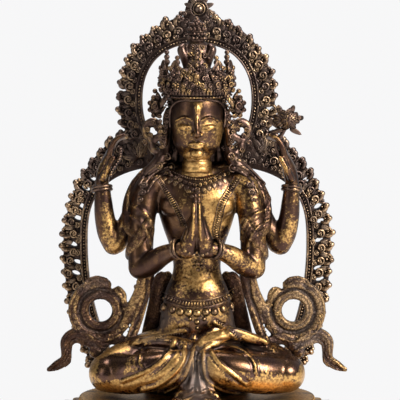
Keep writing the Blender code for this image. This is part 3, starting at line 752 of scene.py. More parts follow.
def torso_and_arms():
    heap = Heap()
    tube(heap, ((0, 22, 12, 56, 32), (0, 21, 34, 50, 32), (0, 18, 62, 39, 28), (0, 15, 84, 35, 26),
                (0, 13, 102, 32, 24), (0, 14, 124, 24, 18), (0, 14, 146, 27, 18), (0, 13, 170, 35, 20),
                (0, 12, 194, 41, 21), (0, 14, 211, 42, 17), (0, 15, 222, 29, 13), (0, 12, 228, 16, 12),
                (0, 9, 240, 14, 13)), sides=40)
    for side in (-1, 1):
        egg(heap, (side * 19, 2, 190), (18, 10.5, 13))
        egg(heap, (side * 33, 19, 222), (13, 8, 9))
    both(heap, ((42, 14, 210, 14, 15), (50, 12, 203, 14.5, 15), (54, 7, 182, 13.5, 14),
                (56, 1, 156, 13, 13), (56, -4, 133, 12.5, 12)))
    both(heap, ((57, -5, 129, 11.5, 12), (47, -12, 133, 11, 11.5), (34, -21, 143, 9.5, 10),
                (21, -28, 149, 8, 8), (14, -31, 151, 7.5, 7.5)), across=DEPTH)
    both(heap, ((46, 24, 207, 14, 12), (57, 24, 192, 12.5, 12), (69, 22, 169, 11.5, 12),
                (81, 19, 151, 11, 11.5)))
    both(heap, ((84, 18, 149, 10.5, 11), (89, 17, 161, 11, 11), (92.5, 16, 177, 10.2, 10),
                (93.8, 14, 192, 9.2, 8.8), (94.3, 13, 205, 7.8, 7.4)))
    return fused("figure_body", heap, 0.00092)


def hands():
    """The joined hands at the chest and the two raised hands."""
    heap = Heap()
    both(heap, ((10.0, -31, 149.5, 9.4, 8.8), (7.2, -32, 159, 8.8, 9.8), (4.6, -32, 170, 7.2, 10),
                (3.2, -32, 179, 5.8, 9.6)), sides=24)
    for k, (tip, wide) in enumerate(((196, 2.2), (201, 2.4), (204, 2.5), (201, 2.4))):
        both(heap, ((5.8, -37 + 4.8 * k, 158, 3.6, 2.6), (3.6, -41 + 6 * k, 172, 4.0, 3.2),
                    (2.5, -40 + 5.6 * k, 188, wide + 0.6, 3.0),
                    (1.7, -38.5 + 5.2 * k, tip, wide - 0.3, 2.4)), sides=16)
    both(heap, ((10, -24, 158, 3.5, 3.5), (5, -21, 170, 3, 3), (3, -20, 180, 2.4, 2.4)), sides=16)
    both(heap, ((94.4, 13, 203, 7.6, 7), (94.8, 12.5, 213, 6.8, 7), (92.6, 12, 224, 7.0, 8),
                (89.4, 11, 234, 5.6, 8.6), (86.3, 10, 243, 4.0, 8)), sides=24)
    for k in range(4):
        away = 4.4 * (k - 1.5)
        both(heap, ((87.5, 11 + away, 239, 3.4, 2.9), (84.8 - 0.4 * k, 10 + away, 249, 2.8, 2.7),
                    (79.5 - 0.4 * k, 9 + 0.9 * away, 257 - 0.5 * k, 2.5, 2.4),
                    (72 - 0.5 * k, 8 + 0.7 * away, 260.5 - k, 1.9, 1.9)), sides=14)
    both(heap, ((94, 5, 217, 3.6, 3.6), (89, 0, 227, 3.0, 3.0), (83, 0, 238, 2.5, 2.5)), sides=14)
    return fused("figure_hands", heap, 0.00058, 2)


def face_and_neck():
    heap = Heap()
    tube(heap, ((0, 13, 219, 21, 13), (0, 11, 228, 14.5, 12), (0, 9, 240, 13.6, 12.6), (0, 8, 252, 14, 13)),
         sides=32)
    for k in range(2):
        hoop(heap, (0, 10.2 - 0.4 * k, 225.5 + 5.5 * k), (0, 0.1, 1), 13.2 - 0.3 * k, 2.0, flat=1.7)
    tube(heap, ((0, -5, 239.5, 7, 3), (0, -3, 241.5, 14.5, 14), (0, -1, 246.5, 20, 20), (0, 1, 255, 24, 23.5),
                (0, 3, 267, 26, 26), (0, 4, 282, 26.5, 27), (0, 5, 298, 25, 26), (0, 7, 314, 17, 18)),
         sides=48)
    egg(heap, (0, -14.0, 243.5), (7, 6, 5))
    tube(heap, ((0, -21.8, 284, 2.0, 1.4), (0, -23.6, 276, 2.0, 2.4), (0, -25.6, 268, 2.4, 3.0),
                (0, -27.2, 263.5, 3.4, 3.4), (0, -25.5, 261, 3.0, 2.4)), sides=16)
    tube(heap, ((-7.5, -20.4, 252.8, 0.9, 1.4), (-3, -22.6, 253.8, 1.6, 1.8), (0, -23, 253.2, 1.4, 1.8),
                (3, -22.6, 253.8, 1.6, 1.8), (7.5, -20.4, 252.8, 0.9, 1.4)), across=UP, sides=12)
    tube(heap, ((-5.5, -20.8, 250.4, 0.9, 1.4), (0, -22.6, 250.0, 1.8, 2.1), (5.5, -20.8, 250.4, 0.9, 1.4)),
         across=UP, sides=12)
    for side in (-1, 1):
        egg(heap, (side * 4, -23.5, 262.6), (2.4, 3, 2.0))
        egg(heap, (side * 11.2, -17.6, 269.6), (7, 5, 3.4))
    both(heap, ((3.5, -22.4, 276, 0.9, 1.4), (12, -21.0, 279.6, 1.1, 1.6), (21, -14.8, 275.6, 0.7, 1.4)),
         across=UP, sides=10)
    both(heap, ((4.5, -21.2, 269.0, 0.6, 0.9), (11, -22.2, 270.8, 0.8, 1.2), (18.4, -17.6, 270, 0.6, 0.9)),
         across=UP, sides=10)
    both(heap, ((5, -21.0, 268.0, 0.5, 0.8), (11, -21.7, 266.6, 0.6, 1.0), (17.5, -17.4, 268.8, 0.5, 0.8)),
         across=UP, sides=10)
    both(heap, ((26.5, 5, 286, 3, 5), (29, 4, 278, 3.4, 6), (30, 3, 266, 3, 5.5), (32, 1, 252, 3.6, 5)),
         sides=16)
    both(heap, ((29.5, 1, 287, 1.2, 1.4), (32.5, 1, 279, 1.2, 1.4), (33.0, 0, 268, 1.2, 1.4),
                (35, -1, 254, 1.2, 1.4)), sides=10)
    tube(heap, ((0, -22.6, 290, 1.6, 1.2), (0, -22.9, 287, 2.1, 1.5), (0, -23.1, 284, 1.6, 1.2)), sides=12)
    return fused("figure_head", heap, 0.00056, 2)


def crown_and_hair():
    heap = Heap()
    tube(heap, ((0, 3, 297, 30.5, 29), (0, 3, 300.5, 33.5, 32), (0, 3, 304.5, 35, 33), (0, 3, 309, 34, 32),
                (0, 3, 313.5, 35, 32.5), (0, 4, 318, 32, 30), (0, 5, 324, 24, 23)), sides=48, ends=False)
    tube(heap, ((0, 12, 262, 24, 20), (0, 12, 280, 28, 23), (0, 8, 298, 30, 27)), sides=36)
    tube(heap, ((0, 8, 304, 27, 25), (0, 8, 318, 18, 16), (0, 8, 332, 12, 12), (0, 8, 342, 12, 11),
                (0, 8, 349, 10.5, 9.5), (0, 8, 353, 8.5, 7)), sides=32, ends=False)
    for side in (-1, 1):
        for k in range(4):
            angle = math.radians(-42 + 28 * k)
            tube(heap, ((side * 9, 9 + 4 * math.sin(angle), 326, 4, 4),
                        (side * (11 + 1.5 * math.cos(angle)), 8 + 9 * math.sin(angle), 337, 4.5, 4.5),
                        (side * (13 + 2.6 * math.cos(angle)), 8 + 10 * math.sin(angle), 345, 4.2, 4.2),
                        (side * 13, 8 + 8 * math.sin(angle), 349, 2.6, 2.6)), sides=14)
    for turn, tip, wide in ((0, 332, 11), (-36, 335, 7.5), (36, 335, 7.5), (-66, 337, 5.5), (66, 337, 5.5)):
        angle = math.radians(turn)
        x, y = 35 * math.sin(angle), 3 - 31 * math.cos(angle)
        tube(heap, ((x, y, 307, wide, 3.4), (x, y, 316, wide, 3.2), (0.96 * x, y, 326, 0.5 * wide, 3),
                    (0.93 * x, y, tip, 2.0, 2.0)), across=(math.cos(angle), math.sin(angle), 0), sides=14)
    both(heap, ((28, 18, 266, 5, 8), (31, 17, 246, 6, 8), (38, 12, 233, 7, 8), (48, 9, 223, 6, 5)), sides=16)
    for k in range(9):
        x = 5.6 * (k - 4)
        y = 32 - 0.012 * x * x
        tube(heap, ((0.62 * x, 27, 306, 3.4, 4), (x, y - 1, 280, 3.8, 5), (1.15 * x, y + 1, 256, 3.8, 5),
                    (1.3 * x, y + 1, 232, 3.4, 4.6), (1.2 * x, y, 220, 2, 3)), sides=12)
    for side in (-1, 1):
        egg(heap, (side * 40, 6, 289), (7.5, 4.0, 11))
        tube(heap, ((side * 37, 6, 298, 2, 2), (side * 40, 6, 303, 1.5, 1.5)), sides=10)
    both(heap, ((34, 14, 262, 4.5, 3), (42, 16, 272, 5.0, 3), (50, 18, 269, 4.6, 3),
                (51, 18, 260, 3.8, 3), (46, 17, 257, 3.0, 2.6)), across=UP, sides=14)
    both(heap, ((36, 14, 258, 4.0, 3), (45, 16, 254, 4.6, 3), (44, 15, 246, 4.6, 3),
                (38, 12, 242, 3.2, 2.6)), across=UP, sides=14)
    return fused("figure_crown", heap, 0.00080, 2)


def legs_and_skirt():
    heap = Heap()
    tube(heap, ((0, 22, 3, 54, 31), (0, 21, 34, 51, 33), (0, 18, 62, 40, 29), (0, 15, 80, 36.5, 27.5)),
         sides=40)
    both(heap, ((16, 20, 42, 28, 27), (50, 8, 37, 26, 24), (76, -4, 29, 24, 22), (89, -11, 24, 19, 19)),
         across=DEPTH, sides=32)
    both(heap, ((91, -14, 24, 17, 19), (66, -30, 26, 17, 20), (40, -40, 31, 16, 19), (18, -43, 36, 14, 17),
                (4, -38, 40, 12, 14)), across=DEPTH, sides=32)
    for side in (-1, 1):
        egg(heap, (side * 86, -17, 25), (21, 22, 18.6), sides=32)
    tube(heap, ((-10, -27, 53, 10, 8), (-30, -22, 57, 10, 6.5), (-46, -15, 56, 9, 5.5),
                (-58, -11, 55, 7, 4.5)), across=DEPTH, sides=20)
    tube(heap, ((6, -30, 55, 10, 8), (20, -27, 62, 9, 7), (34, -22, 66, 8.5, 6), (50, -15, 61, 9, 5.5),
                (64, -10, 56, 7, 4.5)), across=DEPTH, sides=20)
    for side, reach in ((-1, 58), (1, 64)):
        for k in range(5):
            tube(heap, ((side * reach, -15 + 3.2 * k, 55, 1.8, 2.2),
                        (side * (reach + 6 - 0.8 * abs(k - 1)), -15 + 3.4 * k, 54, 1.7, 2.0)),
                 across=DEPTH, sides=10)
    egg(heap, (0, -14, 38), (70, 28, 19))
    tube(heap, ((0, -34, 44, 13, 11), (0, -46, 24, 14, 7), (0, -54, 9, 22, 4), (0, -60, 3.4, 30, 2.4)),
         sides=28)
    return fused("figure_legs", heap, 0.00094)


# The strands of a scarf on one side, as rows for tubes
SCARF = {
    "shoulder": ((14, 25, 226, 7, 4), (36, 21, 229, 9, 5), (58, 18, 214, 9, 5), (68, 14, 192, 8, 6),
                 (66, 4, 170, 6, 8), (57, -10, 160, 6, 5)),
    "wrap": ((46, -10, 176, 5, 3.5), (56, -12, 160, 6, 3.5), (66, -6, 148, 6, 4), (67, 6, 140, 6, 5)),
    "outer": ((50, 6, 128, 7, 4.4), (56, 11, 104, 7, 4.2), (64, 13, 87, 7, 4.2), (75, 14, 73, 7, 4.2),
              (90, 14, 63, 6, 4.2)),
    "inner": ((46, 8, 126, 5, 3.4), (51, 12, 104, 5, 3.4), (57, 12, 82, 5, 3.4), (63, 10, 64, 5, 3.4),
              (70, 4, 48, 5, 3.4)),
    "strap": ((28, 30, 114, 8, 4), (36, 31, 110, 9, 4), (41, 31, 86, 9, 4), (48, 28, 50, 10, 5)),
    "tail": ((98, 10, 46, 6, 4.4), (110, 12, 53, 7, 4.4), (122, 15, 57, 8, 4.2), (131, 16, 51, 7, 4.2),
             (132, 16, 40, 5.5, 4), (133, 16, 32, 5.5, 3.6), (142, 16, 26, 5, 3), (151, 16, 21.5, 1.6, 1.8)),
    "under": ((70, 10, 50, 6, 4.4), (88, 12, 54, 6, 4.4), (104, 9, 40, 6, 4.4)),
}

# The volutes: their middle, as x and z, and how far their outer band is from it
VOLUTE, OUTER_BAND = (97, 83), 27.5


def turn_rows(side, radius, start, end, wide, deep, count=30):
    angle = np.radians(np.linspace(start, end, count))
    return np.stack([side * (VOLUTE[0] + radius * np.cos(angle)), np.full(count, 14.0),
                     VOLUTE[1] + radius * np.sin(angle),
                     np.full(count, wide), np.full(count, deep)], 1)


def borders(heap, rows, steps=5):
    """A fine raised cord along both edges of a flat strand, on its front."""
    rows = curve(rows, steps)
    along = unit(np.gradient(rows[:, :3], axis=0))
    side = unit(np.cross(along, DEPTH))
    for way in (-1, 1):
        place = rows[:, :3] + way * 0.82 * rows[:, 3:4] * side - DEPTH * rows[:, 4:5] * 0.62
        tube(heap, np.hstack([place, np.ones((len(rows), 2))]), across=DEPTH, steps=1, sides=8)


def scarves():
    heap = Heap()
    for side in (-1, 1):
        rows = {name: [(side * row[0], *row[1:]) for row in part] for name, part in SCARF.items()}
        tube(heap, rows["shoulder"], across=(0.3 * side, 1, 0.2), sides=20)
        tube(heap, rows["wrap"], across=UP, sides=20)
        tube(heap, rows["strap"], sides=20)
        for name in ("outer", "inner", "tail", "under"):
            tube(heap, rows[name], winding=True, sides=20)
            borders(heap, rows[name])
        for radius, start, end, wide in ((16.7, 0, 360, 5.4), (OUTER_BAND, 85, -150, 5.4)):
            band = turn_rows(side, radius, start, end, wide, 4.4)
            tube(heap, band, winding=True, steps=2, sides=20, ends=start != 0)
            borders(heap, band, steps=2)
        egg(heap, (side * 100, 14, 108), (14, 5, 10))
        egg(heap, (side * 80, 14, 95), (9, 5, 12))
    return fused("figure_scarves", heap, 0.00080, 2)


body = torso_and_arms()
palms = hands()
head = face_and_neck()
crown = crown_and_hair()
legs = legs_and_skirt()
scarf = scarves()


def two_sides(*lines):
    """Lines on the left, and the same on the right."""
    return lines + tuple((tuple((2 * MIDDLE - x, y) for x, y in path), *rest) for path, *rest in lines)


# Folds and creases. Each is a path in the picture, a half-width and a height
ARM_FOLDS = (
    (((264, 210), (252, 216), (243, 227), (241, 240)), 1.2, 1.5),
    (((269, 220), (257, 228), (249, 241), (247, 252)), 1.2, 1.5),
    (((267, 215), (255, 222), (246, 234), (244, 246)), 0.9, -1.2),
    (((133, 205), (144, 212), (152, 224), (155, 236)), 1.2, 1.4),
    (((130, 215), (140, 222), (148, 234), (151, 246)), 1.2, 1.4),
    (((131, 210), (142, 217), (150, 229), (153, 241)), 0.9, -1.2),
)
HAND_LINES = (
    (((193.8, 204), (193.2, 222), (192.0, 240)), 1.0, 1.0),
    (((199.1, 204), (199.8, 222), (201.2, 240)), 1.0, 1.0),
    (((190.5, 214), (188.5, 226), (185.5, 238)), 0.9, -0.7),
    (((202.5, 214), (204.8, 226), (208.0, 238)), 0.9, -0.7),
) + two_sides((((104, 178), (106, 165), (110, 153), (116, 142)), 0.8, -0.7))
BODY_LINES = ARM_FOLDS + (
    (((183, 161), (192, 165), (203, 165), (212, 161)), 1.0, -0.9),
    (((185, 277), (197, 281), (210, 277)), 1.6, -0.8),
    (((168, 215), (177, 224), (186, 224)), 2.0, -0.5),
    (((212, 224), (221, 224), (229, 215)), 2.0, -0.5),
)
LEG_LINES = (
    (((142, 341), (156, 336.5), (170, 334), (185, 331)), 1.5, 1.5),
    (((146, 343), (141.5, 352), (139.5, 361.7), (142.5, 369)), 1.1, 1.1),
    (((175, 340), (169.3, 352), (157.8, 364), (141, 374), (123, 381)), 1.7, 1.8),
    (((179.5, 337), (175.5, 350), (167.4, 363), (157.8, 372), (146, 380)), 1.0, -1.4),
    (((184.7, 346), (183, 361), (172, 375), (158, 385), (142, 390)), 1.7, 1.8),
    (((188, 340), (189, 356), (181, 372), (166, 386)), 1.0, -1.5),
    (((194, 337), (193, 354), (187, 372), (177, 386), (165, 393)), 1.6, 1.7),
    (((210.5, 349), (217, 361), (231, 373), (246, 384)), 1.4, 1.7),
    (((203.8, 352), (203, 367), (208, 381), (223, 391), (239, 395)), 1.5, 1.8),
    (((200, 351), (211.5, 346), (229, 345), (244, 352), (254, 363), (256, 374)), 1.4, 1.5),
    (((196, 354), (207.7, 342.5), (222, 340.5), (237, 341.5), (252, 347.5), (271, 352)), 1.3, -1.7),
    (((196, 345), (205, 337), (216, 331), (222, 331)), 1.6, 1.2),
    (((226, 327), (243, 332), (258, 338), (268, 342)), 1.5, 1.3),
    (((215, 323), (225, 329), (234.5, 337), (242, 344)), 1.5, 1.5),
    (((212, 357), (222, 370), (238, 383)), 1.0, -0.9),
    (((196, 352), (196, 370), (194, 390)), 1.3, -1.4),
    (((200, 358), (203, 375), (207, 392)), 1.2, -1.3),
    (((192, 362), (189, 376), (183, 390)), 1.2, -1.3),
    (((194, 360), (192, 376), (188, 392)), 1.0, 1.2),
    (((198, 360), (199, 376), (201, 392)), 1.0, 1.2),
    (((176, 396), (182, 391), (188, 394), (194, 389), (200, 393), (207, 390), (213, 394), (220, 396)), 1.2,
     1.3),
    (((180, 399), (188, 396), (197, 393), (206, 396), (215, 399)), 1.0, -1.4),
    (((163, 320), (160, 330)), 1.2, 0.8),
    (((236, 318), (240, 326)), 1.2, 0.8),
)


def ring_line(side, radius, start, end):
    """A line round a volute, as places in the picture."""
    return tuple(map(tuple, seen(placed(turn_rows(side, radius, start, end, 1, 1, 14)[:, :3] - (0, 5, 0)))))


SCARF_LINES = ARM_FOLDS + tuple(line for side in (-1, 1) for line in (
    (ring_line(side, 21.8, 0, 350), 1.3, -3.0),
    (ring_line(side, 14.0, 0, 350), 0.9, 1.1),
    (ring_line(side, 31.0, 85, -150), 0.9, 1.1),
)) + (
    (((147, 281), (146, 298), (139, 315), (131, 334)), 1.3, -2.2),
    (((249, 281), (251, 298), (258, 315), (265, 334)), 1.3, -2.2),
    (((168, 157), (152, 163), (138, 175), (129, 192), (127, 210)), 1.2, 1.3),
    (((170, 163), (156, 169), (144, 180), (136, 196), (134, 212)), 1.2, -1.4),
    (((229, 157), (246, 163), (259, 175), (268, 192), (270, 210)), 1.2, 1.3),
    (((227, 163), (241, 169), (253, 180), (261, 196), (263, 212)), 1.2, -1.4),
    (((84, 288), (87, 279), (97, 274), (108, 279), (112, 288)), 1.1, 1.3),
    (((88, 290), (92, 283), (100, 280), (107, 284)), 0.9, -1.1),
    (((112, 284), (120, 288), (126, 296), (126, 305)), 1.1, 1.3),
    (((111, 289), (116, 293), (121, 300), (122, 307)), 0.9, -1.1),
    (((310, 287), (306, 278), (297, 273), (286, 278), (282, 287)), 1.1, 1.3),
    (((306, 289), (302, 282), (294, 279), (287, 283)), 0.9, -1.1),
    (((282, 283), (274, 287), (268, 295), (268, 304)), 1.1, 1.3),
    (((283, 288), (278, 292), (273, 299), (272, 306)), 0.9, -1.1),
    (((133, 178), (128, 195), (134, 212), (139, 224)), 1.3, 0.9),
    (((141, 180), (140, 200), (147, 216)), 1.3, 0.9),
    (((265, 178), (270, 195), (265, 212)), 1.3, 0.9),
    (((258, 180), (259, 200), (252, 216)), 1.3, 0.9),
    (((90, 279), (97, 276), (106, 280)), 1.2, 1.0),
    (((288, 278), (296, 275), (304, 279)), 1.2, 1.0),
) + two_sides(
    (((98, 341), (84, 334), (72, 334), (65, 342), (65, 352), (60, 360), (50, 369)), 1.0, 1.4),
    (((98, 347), (84, 340), (74, 340), (70, 346), (70, 355), (63, 364), (52, 371)), 1.0, -1.3),
    (((100, 352), (86, 345), (78, 346), (74, 352), (73, 358), (66, 367)), 1.0, 1.2),
)
chase(body, BODY_LINES)
chase(palms, HAND_LINES)
chase(legs, LEG_LINES)
chase(scarf, SCARF_LINES)

# Where gilding is left (amount above 0) and where it is worn away, with painted shade and painted highlights
# among the places
# The place at across 150, down 186 darkens the left shoulder and chest: painted shade for the side away from
# the key light
BODY_GILDING_AND_SHADE = (
    (213, 208, 18, 28, 0, 0.75), (187, 203, 8, 10, 0, 0.25), (232, 205, 12, 22, 10, 0.5),
    (168, 206, 14, 24, 0, -0.25), (199, 181, 36, 9, 0, -0.5), (178, 222, 9, 18, -20, -0.1),
    (198, 280, 26, 13, 0, 0.65), (192, 262, 16, 9, 0, 0.3), (196, 222, 11, 28, 0, -0.6),
    (160, 262, 26, 10, -25, -0.25), (240, 258, 24, 10, 25, 0.35), (108, 225, 5, 26, -8, 0.35),
    (120, 248, 8, 10, 0, 0.3), (97, 225, 4, 24, -5, -0.3), (108, 158, 16, 28, 0, -0.4),
    (287, 155, 14, 28, 0, -0.45), (251, 193, 6, 12, 0, -0.2), (246, 178, 12, 12, 0, 0.35),
    (290, 228, 7, 24, 8, 0.2), (270, 238, 8, 18, 0, 0.05), (256, 190, 10, 16, 0, 0.3),
    (260, 222, 10, 16, 0, -0.1), (148, 205, 8, 18, 0, 0.25), (137, 240, 10, 20, 0, -0.5),
    (150, 186, 16, 26, 0, -0.55), (102, 177, 6, 4, 0, 0.3), (101, 187, 10, 3.6, 0, -0.9),
    (293, 188, 10, 3.6, 0, -0.5),
)
# The narrow stripes at across 193.3 and 199.8, and the one at 283, 166, are painted highlights on the finger
# ridges of the joined hands and on a raised thumb
HAND_GILDING_AND_HIGHLIGHTS = (
    (193.3, 222, 1.8, 20, 0, 0.9), (199.8, 222, 1.8, 20, 0, 0.9), (187, 244, 6, 7, 0, 0.45),
    (207, 246, 6, 7, 0, 0.35), (197, 222, 12, 26, 0, -0.4), (104, 172, 5, 10, 0, 0.25),
    (114, 148, 8, 14, 30, -0.3), (286, 150, 8, 14, -30, -0.25), (283, 166, 3, 10, -20, 0.5),
)
HEAD_GILDING = (
    (198, 166, 20, 12, 0, 1.1), (180, 108, 15, 9, 0, -0.9), (214, 109, 12, 9, 0, -0.9),
    (198, 108, 5, 7, 0, 1.2), (184, 128, 10, 6, 0, 0.5), (211, 127, 11, 7, 0, 0.6), (198, 147, 12, 7, 0, 0.5),
    (198, 132, 3, 9, 0, -0.5), (222, 138, 5, 14, 0, 0.6), (198, 99, 26, 2.5, 0, 1.0),
    (176, 140, 6, 12, 0, -0.2), (168, 130, 5, 30, 0, -0.6), (230, 130, 5, 30, 0, -0.5),
)
CROWN_GILDING = (
    (198, 100, 30, 3, 0, 0.9), (198, 60, 9, 16, 0, 0.5), (148, 133, 8, 8, 40, 0.3), (183, 52, 4, 9, 0, -0.6),
    (213, 52, 4, 9, 0, -0.6),
)
LEG_GILDING = (
    (111, 366, 17, 10.5, -25, -0.75), (98, 358, 8, 6, 0, -0.1), (112, 352, 14, 4, -20, 0.5),
    (92, 368, 5, 14, 10, 0.8), (285, 364, 18, 10.5, 12, -0.95), (155, 352, 15, 9, -35, -1.3),
    (235, 360, 16, 9, 25, -1.3), (128, 384, 36, 5, -12, 0.8), (280, 386, 28, 4.5, 3, 0.8),
    (177, 366, 9, 22, 30, 0.5), (197, 382, 18, 12, 0, -0.5), (197, 395, 30, 5, 0, -0.45),
    (213, 338, 16, 8, -15, 0.6), (165, 334, 20, 6, -12, 0.6), (245, 335, 26, 6, 25, -0.1),
    (197, 372, 6, 20, 0, -0.6), (262, 352, 14, 7, 10, -0.5), (197, 312, 26, 12, 0, 0.15),
    (160, 308, 8, 24, 0, -0.7), (237, 306, 8, 24, 0, -0.7), (197, 327, 9, 6, 0, -0.7),
    (302, 372, 4, 12, 0, 0.8), (212, 372, 10, 16, -20, 0.3),
)
LEG_DUST = (
    (197, 374, 14, 26, 0, 2.2), (162, 310, 8, 26, 0, 1.8), (237, 308, 8, 26, 0, 1.8),
    (150, 339, 18, 4, 0, 1.2), (197, 318, 34, 4, 0, 0.7), (252, 349, 12, 4, 30, 1.0),
)
BODY_DUST = (
    (166, 282, 6, 22, 0, 1.6), (231, 282, 6, 22, 0, 1.6), (170, 172, 10, 8, 0, 1.0),
    (226, 172, 10, 8, 0, 1.2),
)
# Dust places. Those on the right volute, the right tail and the right strand are painted sheen: a grey for
# the light's sheen on the lit side
SCARF_DUST_AND_SHEEN = (
    (303, 304, 30, 34, 0, 1.2), (318, 345, 22, 14, 0, 1.2), (92, 285, 16, 12, 0, 0.8),
    (262, 306, 12, 34, -28, 0.5),
)
SCARF_GILDING = (
    (157, 305, 9, 30, 5, -0.9), (240, 300, 9, 32, -5, -0.9), (135, 304, 16, 34, 25, 0.3),
    (262, 306, 16, 34, -28, 0.25), (95, 308, 30, 34, 0, -0.2), (122, 296, 7, 12, -30, 0.4),
    (272, 296, 7, 12, 30, 0.5), (298, 279, 14, 8, 0, -0.3), (77, 308, 5, 22, 0, 0.6),
    (86, 330, 12, 8, 30, 0.25), (303, 306, 26, 34, 0, 0.45), (95, 274, 18, 9, 0, -0.5),
    (60, 350, 22, 26, 0, -0.8), (338, 350, 20, 28, 0, 0.1), (132, 200, 16, 30, 0, -0.2),
    (266, 205, 16, 30, 0, -0.1),
)
gild_and_paint_light(body, 0.16, BODY_GILDING_AND_SHADE, 0.6, BODY_DUST)
gild_and_paint_light(palms, 0.10, HAND_GILDING_AND_HIGHLIGHTS, 0.6)
gild_and_paint_light(head, 0.18, HEAD_GILDING, 0.6)
gild_and_paint_light(crown, -0.15, CROWN_GILDING, 1.0)
gild_and_paint_light(legs, 0.40, LEG_GILDING, 1.0, LEG_DUST)
gild_and_paint_light(scarf, 0.06, SCARF_GILDING, 1.0, SCARF_DUST_AND_SHEEN)
for obj in (body, palms, head):
    finish_piece(obj, skin_bronze, "bodhisattva_figure")
finish_piece(legs, skirt, "bodhisattva_figure")
finish_piece(scarf, engraved, "bodhisattva_figure")
finish_piece(crown, carved, "bodhisattva_figure")


# The figure: its ornament

# Places in the picture: knobs beside the neck, curls and a cord round the face, and locks of hair
EAR_KNOBS = (
    (231, 137, 4.6, CURL), (230, 156, 5.8, CURL), (233, 168, 4.6, CABOCHON), (223, 148, 3.4, CURL),
    (241, 150, 4.2, CURL), (168, 157, 5.6, CURL), (174, 148, 4.0, CURL), (160, 166, 5.0, CURL),
    (163, 146, 4.4, CURL), (171, 167, 4.4, CABOCHON), (246, 163, 4.6, CURL), (151, 158, 4.6, CURL),
)
FACE_SIDES = (((173, 101), (168, 114), (166, 128), (164, 142)), ((223, 101), (229, 114), (231, 127)))
FACE_FRAME = ((171, 126), (170.6, 116), (172.5, 107), (178, 101.6), (187, 99.8), (198, 99.4), (209, 99.8),
               (218, 101.6), (223.5, 107), (225.4, 116), (225, 126))
LOCKS = (((238, 160), (248, 165), (257, 173), (264, 184)), ((236, 164), (246, 169), (254, 177), (261, 188)),
         ((235, 169), (243, 173), (251, 181), (257, 192)), ((166, 162), (156, 166), (147, 173), (140, 184)),
         ((168, 167), (159, 170), (150, 177), (143, 188)), ((170, 172), (162, 175), (154, 181), (147, 192)))

# The crown: rows of curls by height, curl size and count, and spikes by turn, bead size and count
CROWN_ROWS = ((306.0, 3.4, 32), (311.0, 4.2, 26), (317.0, 4.2, 24), (323.5, 3.6, 18))
SPIKES = ((0, 3.2, 5), (-36, 2.9, 2), (36, 2.9, 2), (-66, 3.3, 3), (66, 3.3, 3))
# The knot of hair: bead rows by height, reach and bead size, and coils by height and reach
HAIR_BEADS = ((356, 8.0, 2.1), (360.5, 7.4, 2.0), (365, 8.2, 2.2), (370, 6.6, 2.0))
HAIR_COILS = ((354, 8.2), (358.5, 6.6), (363, 8.0), (368, 6.8), (372, 4.6))
# Curls and stones on the crown's front: across, down and size
CROWN_CURLS = (
    (197, 73, 5.4), (190, 79, 4.4), (204, 79, 4.4), (191, 66, 4.2), (204, 66, 4.2), (197, 61, 4.6),
    (191, 56, 4.0), (204, 56, 4.0), (197, 51, 4.4), (193, 47, 3.0), (202, 47, 3.0), (197, 84, 4.0),
    (184, 74, 4.0), (211, 74, 4.0), (186, 82, 3.6), (209, 82, 3.6), (215, 69, 3.4), (180, 70, 3.4),
)
CROWN_STONES = (
    (197, 76, 3.6), (197, 57, 3.0), (204, 71, 2.2), (190, 71, 2.2), (209, 58, 1.8), (213, 77, 2.6),
    (181, 77, 2.4), (197, 66, 2.4),
)


def around(angle):
    """The way out from the middle of the figure, with 0 to its front."""
    return np.array((math.sin(angle), -math.cos(angle), 0.0))


def flat_way(angle):
    return math.cos(angle), 0, math.sin(angle)


def crown_band(heap):
    """The crown's lower edge, with a row of upright beads between two finer rows."""
    for k in range(64):
        angle = TAU * k / 64
        front, out = math.cos(angle), around(angle) + (0, 0, 0.05)
        x = 35.4 * math.sin(angle)
        z = 305.5 - 1.5 * max(0, front) - 15 * max(0, abs(math.sin(angle)) - 0.72) / 0.28 * (front > 0)
        lay(heap, BEAD, (x, 3 - 33.4 * front, z), out, UP, (3.6, 1.35, 1.8))
        lay(heap, BEAD, (0.965 * x, 3 - 32.6 * front, z - 5.2), out, (1, 0, 0), (2.0, 1.0, 1.3), top=1.3)
        lay(heap, BEAD, (0.99 * x, 3 - 33 * front, z + 4.6), out, (1, 0, 0), (1.5, 1.2, 1.2))


def crown_spikes(heap):
    for turn, size, count in SPIKES:
        out, aside = around(math.radians(turn)), around(math.radians(turn + 90))
        x, y, _ = (0, 3, 0) + out * (34, 30.5, 0)
        lay(heap, FLOWER, (x, y, 321) + out * 3.4, out, UP, 5.2)
        for way in (-1, 1):
            lay(heap, CURL, (x, y, 327) + aside * way * 5.0 + out * 2.6, out, UP, 3.6, mirror=way < 0)
            lay(heap, LEAF, (x, y, 331) + aside * way * 2.4 + out * 2.2, out, UP - 0.5 * way * aside,
                (5.0, 4.5, 4), mirror=way < 0)
        z = 333
        for k in range(count):
            radius = size * (1 - 0.12 * k)
            lay(heap, BEAD, (0.95 * x, y, z), out, UP, radius)
            z += 1.55 * radius


